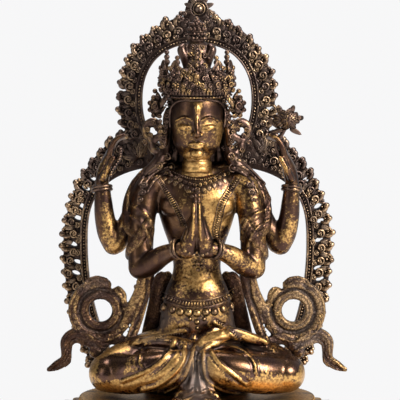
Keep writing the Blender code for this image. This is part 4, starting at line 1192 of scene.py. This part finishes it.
def ear_rosettes(heap):
    for side in (-1, 1):
        lay(heap, CURL, (side * 40.5, 1.5, 289), (side * 0.35, -1, 0), UP, (7, 5.5, 7), mirror=side < 0,
            top=0.7)
        for k in range(8):
            way = np.array(flat_way(TAU * (k + 0.5) / 8))
            lay(heap, CURL, (side * 40.5, 3.0, 289) + way * (6.0, 0, 9.4), (side * 0.3, -1, 0), way,
                (3.3, 3.3, 6), mirror=k % 2, top=0.6)
        lay(heap, BEAD, (side * 41.5, 6, 304), FACING, UP, 2.6)
        for k in range(7):
            lay(heap, CURL, (side * (36.5 - 0.4 * k), -1 - 0.4 * k, 279 - 5 * k), (side * 0.5, -1, 0), UP,
                3.3, mirror=side < 0)
        for k in range(5):
            lay(heap, CURL, (side * (40 + 3.0 * k), 13, 266 - 3.4 * k + 9 * (k % 2)), (side * 0.2, -1, 0),
                (1, 0, 1), 3.8, mirror=side < 0)


def hair_knot(heap):
    for z, radius, size in HAIR_BEADS:
        count = round(TAU * radius / (1.9 * size))
        for k in range(count):
            out = around(TAU * (k + 0.5 * (z % 2)) / count)
            lay(heap, BEAD, (0, 6.5, z) + out * (radius, 0.8 * radius, 0), out + (0, 0, 0.1), UP, size)
    for z, radius in HAIR_COILS:
        egg(heap, (0, 6.5, z), (radius, 0.85 * radius, 3.2), sides=16)
    egg(heap, (0, 6, 374.5), (2.6, 2.6, 3.2), sides=12)


def crown_ornament():
    heap = Heap()
    surface = Surface(crown, head)
    crown_band(heap)
    for row, (z, radius, count) in enumerate(CROWN_ROWS):
        for k in range(count):
            out = around(TAU * (k + 0.5 * row) / count)
            found = surface.hit(Vector(placed(out * 60 + (0, 3, z))), Vector(-out))
            if found:
                stamp(heap, CURL if (k + row) % 4 else FLOWER, found[0], found[1],
                      (math.cos(k * 2.1), math.sin(k * 2.1), 0.6), np.multiply(tall(radius, 1.7), PART),
                      mirror=out[0] < 0)
    crown_spikes(heap)
    ear_rosettes(heap)
    hair_knot(heap)
    for k, (across, down, size) in enumerate(CROWN_CURLS):
        set_on(heap, surface, CURL if k % 3 else FLOWER, across, down, (1, 0, 0.3), 1.1 * size, mirror=k % 2,
               top=1.3)
    for across, down, size in CROWN_STONES:
        set_on(heap, surface, BEAD, across, down, UP, size, proud=1.5, top=1.9)
    shoulders = Surface(body, head, crown, scarf)
    for across, down, size, shape in EAR_KNOBS:
        set_on(heap, shoulders, shape, across, down, (1, 0, 0.4), tall(size, 1.4), mirror=across < MIDDLE,
               top=0.8, normal=(0.3 * (across - MIDDLE) / 35, -1, 0.1))
    for path in FACE_SIDES:
        string(heap, shoulders, path, 5.4, CURL, (3.4, 3.4, 5.0), top=0.8)
    cord(heap, shoulders, FACE_FRAME, 1.5, lift=0.9)
    for path in LOCKS:
        cord(heap, shoulders, path, 1.5, lift=0.2, wave=lambda share: 1.0 + 0.25 * math.sin(40 * share))
    return object_of("crown_ornament", heap)


# Armlet, pendant and collar: across, down and size
ARMLET = ((249, 186, 5.4), (251, 193, 5.4), (253, 200, 4.4))
PENDANT = (
    (185, 251, 2.0), (189, 253.5, 2.0), (193.5, 255, 2.2), (198, 256, 2.6), (202.5, 255, 2.2),
    (207, 253.5, 2.0), (211, 251, 2.0), (198, 263, 3.4), (193, 261, 2.0), (203, 261, 2.0), (194, 266.5, 2.0),
    (202, 266.5, 2.0), (198, 269.5, 2.2),
)
COLLAR_JEWELS = ((189, 192, 3.0), (205, 192, 3.0), (193, 197, 2.8), (201, 197, 2.8), (197, 190, 3.4))

# Beads at the neck, the chest and the belt: paths and places in the picture
NECK = ((171.5, 170.8), (180.8, 176), (192.5, 179.2), (205.3, 179.4), (215.8, 176), (224, 171))
CHEST_STRINGS = (((156.5, 176.5), (163, 186), (170, 197), (176.5, 208.5), (181, 218), (183.5, 226)),
                 ((237, 178), (228.6, 192), (221.6, 205), (219.3, 215), (216, 230), (217, 241)))
BELT = ((161, 295), (167, 297.5), (176, 301), (186, 303.5), (197, 304), (208, 303.4), (219, 300.5),
        (227, 296.5), (233, 292))
BELT_BEADS = ((164, 307), (172, 310), (180, 312), (188.4, 312.6), (197, 313.2), (206, 312.4), (214.6, 311.6),
              (223, 309), (231, 306))
BELT_DROPS = ((197, 322, 3.2), (190, 319, 2.4), (204, 319, 2.4), (197, 328, 2.2))
# Points of the collar: across, down, and how far right and down each moves as a row drops by a pixel
COLLAR = ((168, 168, -0.3, 1), (182, 175.5, 0, 1), (198, 179, 0, 1.2), (213, 175.5, 0, 1), (227, 168, 0.3, 1))
# Hems, each a path and the size of its beads, and a path of scrolls down each scarf
HEMS = ((((156, 337.5), (168, 335.6), (182, 334)), (0.9, 2.2, 1.4)),
        (((216.5, 321), (226, 327), (235, 334.5), (243, 343)), (0.9, 2.6, 1.5)))
SCARF_SCROLLS = {-1: ((138, 282), (134, 290), (126, 305), (116, 317)),
                 1: ((256, 277), (262, 292), (270, 305), (280, 318))}


def jewellery():
    heap = Heap()
    surface = Surface(body, palms, head, legs, scarf, crown)

    def beads(places, along, size, shape=BEAD, **more):
        for across, down, *own in places:
            set_on(heap, surface, shape, across, down, along, size(*own), **more)

    string(heap, surface, NECK, 2.2, BEAD, (1.0, 1.5, 1.5), top=1.1)
    cord(heap, surface, shifted(NECK, 0, 2.6), 0.7)
    for drop, size, pitch, shape, long in ((5.2, 2.9, 5.2, CURL, 1.0), (10.6, 3.3, 5.8, LEAF, 1.6)):
        path = [(x + right * drop, y + down * drop) for x, y, right, down in COLLAR]
        for across, down in along_path(path, pitch):
            set_on(heap, surface, shape, across, down, (0.5 * (across - MIDDLE) / 30, 0, -1),
                   (size, long * size, 1.9 * size), mirror=across < MIDDLE, top=1.1)
    for across, down, size in COLLAR_JEWELS:
        set_on(heap, surface, CURL, across, down, UP, tall(size, 1.8), mirror=across < MIDDLE, top=1.2)
    for path in CHEST_STRINGS:
        string(heap, surface, path, 2.3, BEAD, (0.95, 2.6, 1.7), top=1.1)
        for way in (-1, 1):
            cord(heap, surface, shifted(path, 3.3 * way, 1.0 * way), 0.8)
    string(heap, surface, BELT, 2.9, BEAD, (1.15, 2.7, 1.8), top=1.15)
    for way in (-3.6, 3.6):
        cord(heap, surface, shifted(BELT, 0, way), 0.8)
    beads(BELT_BEADS, (1, 0, 0), lambda: (4.5, 4.5, 3.0), top=1.6)
    beads(BELT_DROPS, UP, lambda size: size, top=1.1)
    for side in (-1, 1):
        for k in range(2):
            hoop(heap, (side * 94.8, 12.5, 204.8 + 3.0 * k), (0.10 * side, 0.2, 1), 9.2 - 0.3 * k, 1.75,
                 sides=32)
            hoop(heap, (side * (20.6 - 2.5 * k), -28.2 - 1.6 * k, 150.2 + 0.8 * k), (side, 0.66, -0.26),
                 9.3, 1.5, sides=32)
    waist = Surface(body, legs)
    for turn in range(26):
        angle = math.radians(95 + 170 * turn / 25)
        out = around(angle)
        for z, shape, size in ((94 - 3 * math.cos(angle), BEAD, (2.6, 1.5, 2)), (82, CABOCHON, 2.6)):
            found = waist.hit(Vector(placed(out * 90 + (0, 15, z))), Vector(-out))
            if found and np.linalg.norm(found[0] - placed((0, 15, z))) < 46 * PART:
                stamp(heap, shape, found[0], found[1], UP, np.multiply(size, PART))
    for path, size in HEMS:
        string(heap, surface, path, 2.6, BEAD, size)
    beads(PENDANT, UP, lambda size: tall(size, 0.8), top=1.2)
    for side, path in SCARF_SCROLLS.items():
        for across, down, size in ARMLET:
            set_on(heap, surface, CURL, MIDDLE + side * (across - MIDDLE), down, (0.2 * side, 0, 1),
                   (0.8 * size, size, 1.6 * size), mirror=side < 0, top=0.3)
        for k, (across, down) in enumerate(along_path(path, 5.2)):
            set_on(heap, surface, CURL, across, down, flat_way(2.4 * k), (3.0, 3.0, 1.4), mirror=k % 2,
                   top=1.3)
        for k in range(10):
            angle = math.radians(190 + 15 * k)
            x, z = VOLUTE[0] - OUTER_BAND * math.cos(angle), VOLUTE[1] + OUTER_BAND * math.sin(angle)
            lay(heap, CURL, (side * x, 9.8, z), FACING, flat_way(k), (3.4, 3.4, 1.6))
    for k in range(11):
        share = k / 10
        lay(heap, BEAD, (-76 - 8 * share + 2 * math.sin(5 * share), 3, 247 - 26 * share), FACING, UP,
            2.4 if k % 3 == 1 else 1.8, top=0.4)
    return object_of("figure_jewellery", heap)


# Rings of petals: how far out, their size, how many, and how far forward
LOTUS_RINGS = ((3.0, 4.4, 4, 6.5), (6.0, 4.8, 6, 4.0), (9.0, 4.4, 8, 1.5), (11.5, 3.6, 6, 0.0))
# The held lotus's middle, and its outer leaves: x, z and a turn in degrees
LOTUS_X, LOTUS_Z = 90, 276
LOTUS_LEAVES = ((79, 264, 200), (76, 272, 150), (98, 264, -30))


def held_lotus():
    heap = Heap()
    tube(heap, ((82, 8, 240, 1.8, 1.8), (79, 8, 250, 2.2, 2.2), (85, 9, 262, 2.2, 2.2), (90, 9, 272, 3, 3)),
         sides=12)
    egg(heap, (LOTUS_X, 8, LOTUS_Z), (8.5, 6, 8))
    for ring, (reach, size, count, forward) in enumerate(LOTUS_RINGS):
        for k in range(count):
            x, _, z = flat_way(TAU * (k + 0.37 * ring) / count)
            wild = 1 + 0.22 * math.sin(5 * k + 3 * ring)
            lay(heap, LEAF, (LOTUS_X + wild * reach * x, 6.5 - forward, LOTUS_Z + 0.9 * wild * reach * z),
                (0.7 * x + 0.3 * math.sin(4 * k), -1, 0.7 * z), (x, -0.6, z),
                (1.15 * wild * size, 1.7 * size, 16))
    lay(heap, FLOWER, (LOTUS_X, 0, LOTUS_Z), FACING, UP, 3.4)
    for x, z, turn in LOTUS_LEAVES:
        lay(heap, LEAF, (x, 6, z), FACING, flat_way(math.radians(turn)), (7, 6, 6))
    return object_of("held_lotus", heap)


ornaments = (crown_ornament(), jewellery(), held_lotus())
for obj, low, high in zip(ornaments, (-0.10, 0.0, -0.5), (0.34, 0.55, 0.40)):
    gild_stamps(obj, low, high)
    finish_piece(obj, carved, "bodhisattva_figure")


# The aureole

def outline(half_width, rise, drop, middle, upper=2.0, lower=2.0):
    """A closed curve on the plate, its rise and its drop measured from a height. It gives the points at
    angles round it, moved out by a distance. The power of its upper half and of its lower half differ."""

    def edge(angle, grow=0.0):
        x, z = oval(angle, np.where(np.sin(angle) > 0, upper, lower))
        high = np.where(z >= 0, rise, drop) + grow
        return np.stack([(half_width + grow) * x, high * z + middle], -1)

    return edge


MANDORLA_HALF, NIMBUS_HALF, NIMBUS_TALL = (
    size / 2 for size in (MANDORLA_OPENING_WIDTH, NIMBUS_OPENING_WIDTH, NIMBUS_OPENING_HEIGHT))
mandorla_edge = outline(MANDORLA_HALF + MANDORLA_BAND, MANDORLA_RISE + 2.2 * MANDORLA_BAND,
                        MANDORLA_DROP + MANDORLA_BAND, MANDORLA_CENTRE)
mandorla_opening = outline(MANDORLA_HALF, MANDORLA_RISE, MANDORLA_DROP, MANDORLA_CENTRE, upper=3.0)
nimbus_edge = outline(NIMBUS_HALF + NIMBUS_BAND, NIMBUS_TALL + 1.2 * NIMBUS_BAND, NIMBUS_TALL + NIMBUS_BAND,
                      NIMBUS_CENTRE)
nimbus_opening = outline(NIMBUS_HALF, NIMBUS_TALL, NIMBUS_TALL, NIMBUS_CENTRE, 2.25, 2.25)
NIMBUS_TOP = nimbus_edge(np.array([TAU / 4]))[0]
ALL_ROUND = TAU * np.arange(240) / 240


def walk(edge, pitch):
    """Angles at equal steps round a closed curve, from its lowest point."""
    fine = TAU * (np.arange(1441) / 1440 - 0.25)
    run = run_of(edge(fine))
    count = round(run[-1] / pitch)
    return np.interp((np.arange(count) + 0.5) * run[-1] / count, run, fine)


def slab(points, front, back, name):
    """A flat piece with the given outline, as x and z."""
    heap = Heap()
    near = np.stack([points[:, 0], np.full(len(points), front), points[:, 1]], 1)
    heap.add(np.vstack([near, near + (0, back - front, 0)]), grid_faces(2, len(points)))
    obj = object_of(name, heap)
    bm = bmesh.new()
    bm.from_mesh(obj.data)
    bmesh.ops.holes_fill(bm, edges=bm.edges)
    bmesh.ops.recalc_face_normals(bm, faces=bm.faces)
    bm.to_mesh(obj.data)
    bm.free()
    return obj


def in_nimbus(point, margin):
    half, high = NIMBUS_HALF + NIMBUS_BAND + margin, NIMBUS_TALL + NIMBUS_BAND + margin
    return (point[0] / half) ** 2 + ((point[1] - NIMBUS_CENTRE) / high) ** 2 < 1


def on_plate(across, down):
    """The point of the plate's front that the camera sees there, as x and z."""
    ray = sight(across, down)
    t = (FRONT - CAMERA.y) / ray.y
    return np.array((CAMERA.x + t * ray.x, CAMERA.z + t * ray.z))


# Places in the picture, and a turn in degrees
PIERCINGS = (
    (82, 206, 35), (78, 218, 20), (73, 244, 25), (78, 262, 20), (76, 273, 20), (86, 188, 30), (93, 178, 40),
    (318, 206, -35), (320, 221, -20), (319, 240, -20), (306, 180, -35), (318, 268, -15), (320, 279, -20),
    (123, 89, 0), (271, 108, 0), (275, 128, 40),
)
# The crest's outline, as x and z, before it is stretched to the aureole's top
CREST = np.array(((-9, -6), (9, -6), (10, 2), (7, 8), (4, 12), (0, 15), (-4, 12), (-7, 8), (-10, 2))) * 0.001


def plate():
    back = FRONT + PLATE
    inset = -0.0016
    obj = slab(mandorla_edge(ALL_ROUND, inset), FRONT, back, "aureole_plate")
    used = []

    def combine(operation, points, front=FRONT - 0.01, far=back + 0.01):
        other = slab(np.array(points), front, far, "cutter")
        modifier = obj.modifiers.new(operation, "BOOLEAN")
        modifier.object = other
        modifier.operation = operation
        modifier.solver = "EXACT"
        used.append(other)

    combine("UNION", nimbus_edge(ALL_ROUND, inset), FRONT - 0.0005, back - 0.0001)
    crest = CREST * (0.8, (AUREOLE_HIGH.z - NIMBUS_TOP[1]) / 0.0152) + NIMBUS_TOP
    combine("UNION", crest, FRONT, back - 0.0002)
    combine("DIFFERENCE", nimbus_opening(ALL_ROUND))
    combine("DIFFERENCE", mandorla_opening(ALL_ROUND))
    for across, down, turn in PIERCINGS:
        angle = TAU * np.arange(20) / 20
        c, s = math.cos(math.radians(turn)), math.sin(math.radians(turn))
        wide, high = 0.0029 * np.cos(angle), 0.0016 * np.sin(angle)
        hole = np.stack([wide * c + high * s, high * c - wide * s], 1)
        combine("DIFFERENCE", on_plate(across, down) + hole)
    floor_top = LEDGE + 0.0003
    combine("DIFFERENCE", ((-0.2, 0.0), (0.2, 0.0), (0.2, floor_top), (-0.2, floor_top)))
    down = MANDORLA_CENTRE - LEDGE
    inner = MANDORLA_HALF * math.sqrt(1 - (down / MANDORLA_DROP) ** 2)
    outer = (MANDORLA_HALF + MANDORLA_BAND) * math.sqrt(1 - (down / (MANDORLA_DROP + MANDORLA_BAND)) ** 2)
    low, high = LEDGE - TENON_DEPTH, LEDGE + 0.004
    for side in (-1, 1):
        left, right = (side * (inner + outer) / 2 + way * TENON_WIDTH / 2 for way in (-1, 1))
        tenon = (left, low), (right, low), (right, high), (left, high)
        combine("UNION", tenon, FRONT + 0.0004, back - 0.0004)
    bevel = obj.modifiers.new("Soft edges", "BEVEL")
    bevel.width = 0.0005
    bevel.segments = 2
    bevel.angle_limit = math.radians(50)
    mesh = applied(obj)
    for other in used:
        bpy.data.objects.remove(other)
    mesh.shade_smooth()
    mesh.set_sharp_from_angle(angle=math.radians(35))
    return obj


def within(loop, point):
    """Whether a point is inside a closed loop of points."""
    a, b = loop, np.roll(loop, -1, axis=0)
    crossing = (a[:, 1] > point[1]) != (b[:, 1] > point[1])
    x = a[:, 0] + (point[1] - a[:, 1]) * (b[:, 0] - a[:, 0]) / np.where(crossing, b[:, 1] - a[:, 1], 1)
    return (crossing & (point[0] < x)).sum() % 2 == 1


# Fans of leaves on the plate: across, down, and the first and last direction in degrees
PLATE_FANS = ((139, 158, 60, 175), (262, 153, 15, 120))
# The ornament between the openings: its pitch and its reach across and down, in pixels
WEB_PITCH = 8.0
WEB_ACROSS, WEB_DOWN = (92, 306), (120, 184)
# The jewel in the picture, and curls by the crest: x and z from the nimbus's top and size, in mm
JEWEL = (199, 9)
CROWNING_CURLS = ((8.5, -1.0, 2.6), (6.5, -6.0, 2.8), (10.5, -5.0, 2.6), (3.4, -9.5, 3.0))


def web_places():
    """Places on the plate between the nimbus's ornament and the mandorla's opening."""
    outside, disc = mandorla_edge(ALL_ROUND, -0.0060), nimbus_edge(ALL_ROUND, -0.0010)
    holes = nimbus_opening(ALL_ROUND, 0.0075), mandorla_opening(ALL_ROUND, 0.0030)
    found = []
    for row, down in enumerate(np.arange(*WEB_DOWN, 0.86 * WEB_PITCH)):
        for across in np.arange(WEB_ACROSS[0] + 0.5 * WEB_PITCH * (row % 2), WEB_ACROSS[1], WEB_PITCH):
            place = on_plate(across, down)
            taken = within(disc, place) and place[1] > NIMBUS_FOOT
            if within(outside, place) and not taken and not any(within(hole, place) for hole in holes):
                found.append(place)
    return found


def aureole_relief():
    heap = Heap()
    holes = [on_plate(across, down) for across, down, _ in PIERCINGS]

    def at(point, lift):
        return np.array((point[0], FRONT - lift, point[1]))

    def fix(shape, point, lift, along, size, **more):
        stamp(heap, shape, at(point, lift), FACING, along, size, **more)

    def rims(opening, shows):
        """Two cords round an opening with a row of pearls between them."""
        for grow, thick in RIM_CORDS:
            points = opening(np.linspace(0, TAU, 361), grow)
            keep = np.array([shows(point) for point in points])
            for run in np.split(np.arange(361), np.flatnonzero(np.diff(keep.astype(int))) + 1):
                if keep[run[0]] and len(run) > 3:
                    rows = [(*at(points[k], 0.0003), thick, 1.5 * thick) for k in run]
                    tube(heap, rows, across=(0, 0.2, 1), steps=1, sides=8, grid=False, winding=True)
        for point in opening(walk(lambda angle: opening(angle, PEARL_LINE), PEARL_PITCH), PEARL_LINE):
            if shows(point):
                fix(PEARL, point, 0.0003, UP, 0.00085, top=1.5)

    def unit_at(inner, rim):
        """One unit of the ornament, from an opening's edge to the plate's."""
        away, band = unit(rim - inner), np.linalg.norm(rim - inner)
        way = 1 if rim[0] > 0 else -1
        aside_way = np.array((-away[1], away[0])) * way
        turn = np.array((away[0], 0, away[1]))
        jig = CHANCE.uniform(-1, 1, 12)

        def put(shape, far, aside, size, lift, along, keep=0.0, flip=1):
            point = inner + away * far + aside_way * aside
            for hole in holes:
                gap = point - hole
                if np.linalg.norm(gap) < keep:
                    point = hole + unit(gap) * keep
            fix(shape, point, lift, along, size, mirror=way * flip < 0)

        lean = turn + 0.25 * jig[5] * UP
        big = 0.0042 * (1 + 0.10 * jig[0])
        for extra in range(max(0, int((band - 0.0150) / 0.0075)) + 1):
            put(CURL, 0.0094 + 0.0076 * extra, -0.0004 + 0.0006 * jig[1], tall(big, 1.55), 0.0003, lean,
                0.0050, (-1) ** extra)
        put(CURL, 0.0066, 0.0044 + 0.0003 * jig[2], (0.0028, 0.0028, 0.0045), 0.0002, -turn, 0.0042)
        put(LEAF, 0.0068, -0.0028, (0.0030, 0.0042, 0.0052), 0.0003, lean, 0.0042, -1)
        put(LEAF, band - 0.0056, 0.0036 + 0.0003 * jig[8], (0.0036, 0.0040, 0.0050), 0.0003,
            turn + 0.4 * jig[9] * UP, 0.0038)
        put(KNOB, band - 0.0068 - 0.0006 * jig[7], -0.0008, 0.0023 * (1 + 0.12 * jig[6]), 0.0001, lean)
        put(KNOB, band - 0.0050, 0.0034, 0.0014 * (1 + 0.15 * jig[3]), 0.0001, turn - 0.3 * lean, flip=-1)

    for opening, edge, outer in ((nimbus_opening, nimbus_edge, True),
                                 (mandorla_opening, mandorla_edge, False)):
        rims(opening, lambda point: point[1] > LEDGE + 0.001 and (outer or point[1] < RIM_END))
        for angle in walk(edge, UNIT_PITCH):
            rim = edge(angle)
            if outer:
                hidden = rim[1] < NIMBUS_FOOT or abs(rim[0]) < 0.011 and rim[1] > NIMBUS_CENTRE
            else:
                hidden = in_nimbus(rim, -0.002)
            if rim[1] >= LEDGE + 0.004 and not hidden:
                unit_at(opening(angle), rim)
    for across, down, start, end in PLATE_FANS:
        root = on_plate(across, down)
        for k in range(6):
            angle = math.radians(start + (end - start) * k / 5)
            place = root + 0.0062 * np.array((math.cos(angle), math.sin(angle)))
            fix(LEAF, place, 0.0006 + 0.0002 * (k % 2), flat_way(angle), (0.0066, 0.0052, 0.0080), top=1.6)
    for k, place in enumerate(web_places()):
        size = 0.0028 + 0.0004 * math.sin(3 * k)
        fix(CURL if k % 3 else LEAF, place, 0.0002, flat_way(2.4 * k), tall(size, 1.3), mirror=k % 2, top=0.8)
    middle = on_plate(*JEWEL)
    fix(CABOCHON, middle, 0.0012, UP, 0.0042, top=1.8)
    hoop(heap, at(middle, 0.0002), DEPTH, 0.0056, 0.0008, grid=False)
    for k in range(9):
        angle = math.radians(-50 + 35 * k)
        point = middle + 0.0073 * np.array((math.cos(angle), math.sin(angle)))
        if point[1] < AUREOLE_HIGH.z - 0.0035:
            fix(LEAF, point, 0.0003, flat_way(angle), (0.0032, 0.0040, 0.004))
    for side in (-1, 1):
        for x, z, size in CROWNING_CURLS:
            fix(CURL, (side * x * 0.001, NIMBUS_TOP[1] + z * 0.001), 0.0004, UP, size * 0.001,
                mirror=side < 0)
        fix(BEAD, (side * 0.0105, NIMBUS_TOP[1] - 0.0006), -0.0016, UP, 0.0019)
    return object_of("aureole_relief", heap)


backing = plate()
relief = aureole_relief()
# The plate keeps little gilding and takes the darker ground bronze: painted shade between the relief
gild_and_paint_light(backing, -0.4, (), 0.4)
gild_stamps(relief, -0.13, 0.38, 0.35, 0.5)
finish_piece(backing, shaded_halo_ground, "aureole")
finish_piece(relief, halo, "aureole")


# The lotus base

def base_body():
    """A turned oval with a double row of petals, a waist, and the seat. The seat's bead row is made apart
    from it.
    """
    count = PETALS * 20
    angle = TAU * np.arange(count) / count
    c, s = oval(angle, OVAL)
    petal, second = ((angle * PETALS / TAU + shift) % 1.0 * 2 - 1 for shift in (0.0, 0.5))
    stamen = 0.5 + 0.5 * np.cos(angle * PETALS * 8)
    waist = 0.5 * (PLINTH + LEDGE)
    bulge, flare, cut, top = 0.0042, 0.0014, 0.0008, BASE_HIGH.z
    loops, tops = [], []

    def level(wide, deep, height, high, forward=0.0):
        loops.append(np.stack([wide * c, deep * s - forward, np.full(count, height)], 1))
        tops.append(np.zeros(count) + high)

    def row(height, share, relief, high):
        wide, deep = (share * half - bulge + relief for half in (BASE_HALF_WIDTH, BASE_HALF_DEPTH))
        level(wide, deep, height, high)

    def leaf(u, t):
        """The relief of a petal at a place across it and a share of its length, 1 at its tip."""
        edge = np.sqrt(np.clip(1 - t ** 2.6, 0, 1)) * 0.98 + 0.02
        inside = np.clip(1 - (np.abs(u) / edge) ** 2, 0, 1) ** 0.5
        rim = np.exp(-((np.abs(u) - 0.80 * edge) / 0.09) ** 2) * 0.18
        return inside * (0.75 + 0.25 * t) + rim * (inside > 0)

    def petals(low, rise, swell, speed, hanging):
        for step in np.linspace(0, 1, 27):
            t = 1 - step if hanging else step
            share = 0.80 + swell * math.sin(0.5 * math.pi * min(1, speed * t)) ** 0.8
            lift = np.maximum(leaf(petal, t), 0.72 * leaf(second, max(0.0, t - 0.06) * 1.02))
            row(low + rise * step, share, bulge * lift, np.clip(lift, 0, 1))

    for height, relief in ((0.0, 0.9), (0.0006, 1.0), (PLINTH * 0.45, 1.0), (PLINTH * 0.55, 0.75),
                           (PLINTH * 0.70, 0.75), (PLINTH * 0.78, 0.95), (PLINTH - 0.0004, 0.95),
                           (PLINTH, 0.75)):
        row(height, 1.0, relief * bulge, 0.7)
    petals(PLINTH + 0.0002, waist - PLINTH - 0.0012, 0.17, 1.25, True)
    for lift, share, relief in ((0.0012, 0.80, 0.1), (-0.0012, 0.81, 0.55), (-0.0004, 0.81, 0.65),
                                (0.0004, 0.80, 0.1)):
        row(waist + lift, share, relief * bulge, 0.6)
    petals(waist + 0.0014, LEDGE - waist - 0.0016, 0.165, 1.2, False)
    row(LEDGE, 0.93, 0.0, 0.8)
    for height, grow, depth in ((LEDGE, -0.0006, 0), (LEDGE + 0.0006, -0.0004, 0.0007),
                                (LEDGE + 0.45 * SEAT_RISE, 0, cut), (top - 0.0032, 0.0004, 0.0006),
                                (top - 0.0026, flare - 0.0006, 0), (top - 0.0018, flare, 0),
                                (top - 0.0008, flare, 0), (top - 0.0002, flare - 0.0006, 0),
                                (top, flare - 0.0014, 0)):
        grown = grow - flare - depth * stamen
        level(SEAT_WIDTH / 2 + grown, SEAT_DEPTH / 2 + grown, height, 1 - depth / cut * stamen * 0.8,
              SEAT_FORWARD)
    heap = Heap()
    rings(heap, np.array(loops), np.array(tops))
    return object_of("lotus_body", heap)


def base_beads():
    heap = Heap()
    for count, height, wide, deep, size, forward in (
            (150, BASE_HIGH.z - 0.0013, SEAT_WIDTH / 2 - 0.0003, SEAT_DEPTH / 2 - 0.0003, 0.0012,
             SEAT_FORWARD),
            (170, PLINTH * 0.62, BASE_HALF_WIDTH - 0.0012, BASE_HALF_DEPTH - 0.0012, 0.0011, 0.0)):
        path = np.stack(oval(TAU * np.arange(2881) / 2880, OVAL), 1) * (wide, deep)
        run = run_of(path)
        at = np.arange(count) * run[-1] / count
        for x, y in zip(np.interp(at, run, path[:, 0]), np.interp(at, run, path[:, 1])):
            stamp(heap, PEARL, (x, y - forward, height), (x / wide, y / deep, 0), UP, size)
    return object_of("lotus_beads", heap)


lotus, beads = base_body(), base_beads()
gild_stamps(lotus, 0.45, 0.80, 0.3)
gild_stamps(beads, 0.2, 0.8, 0.3)
for obj in (lotus, beads):
    finish_piece(obj, pedestal, "lotus_base")


# Floor, light and camera

def floor():
    """A pale floor that runs into the backdrop without a line."""
    mesh = bpy.data.meshes.new("floor")
    size = 4.0
    corners = [(-size, -size, 0), (size, -size, 0), (size, size, 0), (-size, size, 0)]
    mesh.from_pydata(corners, [], [(0, 1, 2, 3)])
    material = bpy.data.materials.new("pale_floor")
    tree = Nodes(material)
    grain = tree.node("TexNoise", {"Scale": 30.0}).outputs["Fac"]
    tone = tree.mixed(grain, (0.86, 0.86, 0.86), (0.90, 0.90, 0.90))
    shader = tree.feed(tree.tree.nodes["Principled BSDF"], {"Roughness": 0.7, "Base Color": tone})
    paper = tree.node("Emission", {"Color": PAPER})
    tree.feed(tree.tree.nodes["Material Output"], {"Surface": tree.shown(shader, paper)})
    mesh.materials.append(material)
    obj = bpy.data.objects.new("floor", mesh)
    obj.location.z = BASE_LOW.z - 0.0002
    bpy.context.scene.collection.objects.link(obj)


LAMP_AIM = Vector((0.0, 0.0, 0.15))


def lamp(name, place, size, power, colour=(1, 1, 1)):
    data = bpy.data.lights.new(name, "AREA")
    data.shape = "RECTANGLE"
    data.size, data.size_y = size
    data.energy = power
    data.color = colour
    obj = bpy.data.objects.new(name, data)
    obj.location = place
    obj.rotation_euler = (LAMP_AIM - Vector(place)).to_track_quat("-Z", "Y").to_euler()
    bpy.context.scene.collection.objects.link(obj)


def world():
    """A soft room, brighter on one side, behind which the camera sees plain paper."""
    made = bpy.data.worlds.new("studio")
    tree = Nodes(made)
    tree.tree.nodes.clear()
    place = tree.node("TexCoord").outputs["Generated"]
    toward = tree.node("VectorMath", {0: place, 1: BRIGHT_SIDE}, operation="DOT_PRODUCT").outputs["Value"]
    glow = tree.ramp(toward, -0.3, 1.0, **{"To Min": 0.16, "To Max": 0.75})
    room = tree.node("Background", {"Color": (0.80, 0.84, 0.90), "Strength": glow})
    paper = tree.node("Background", {"Color": PAPER})
    tree.node("OutputWorld", {"Surface": tree.shown(room, paper)})
    bpy.context.scene.world = made


floor()
lamp("key", (0.95, -0.82, 0.78), (0.50, 0.50), 32.0, (1.0, 0.985, 0.96))
lamp("second", (-1.0, -0.75, 0.5), (0.35, 0.8), 2.5, (0.96, 0.98, 1.0))
lamp("top", (-0.1, 0.15, 1.2), (0.7, 0.5), 12.0)
world()

camera = bpy.data.cameras.new("camera")
camera.lens = LENS
camera.sensor_width = SENSOR
camera.clip_start = 0.05
camera_object = bpy.data.objects.new("camera", camera)
camera_object.location = CAMERA
camera_object.rotation_euler = (AIM - CAMERA).to_track_quat("-Z", "Y").to_euler()
bpy.context.scene.collection.objects.link(camera_object)
bpy.context.scene.camera = camera_object
bpy.context.scene.view_settings.view_transform = "Standard"
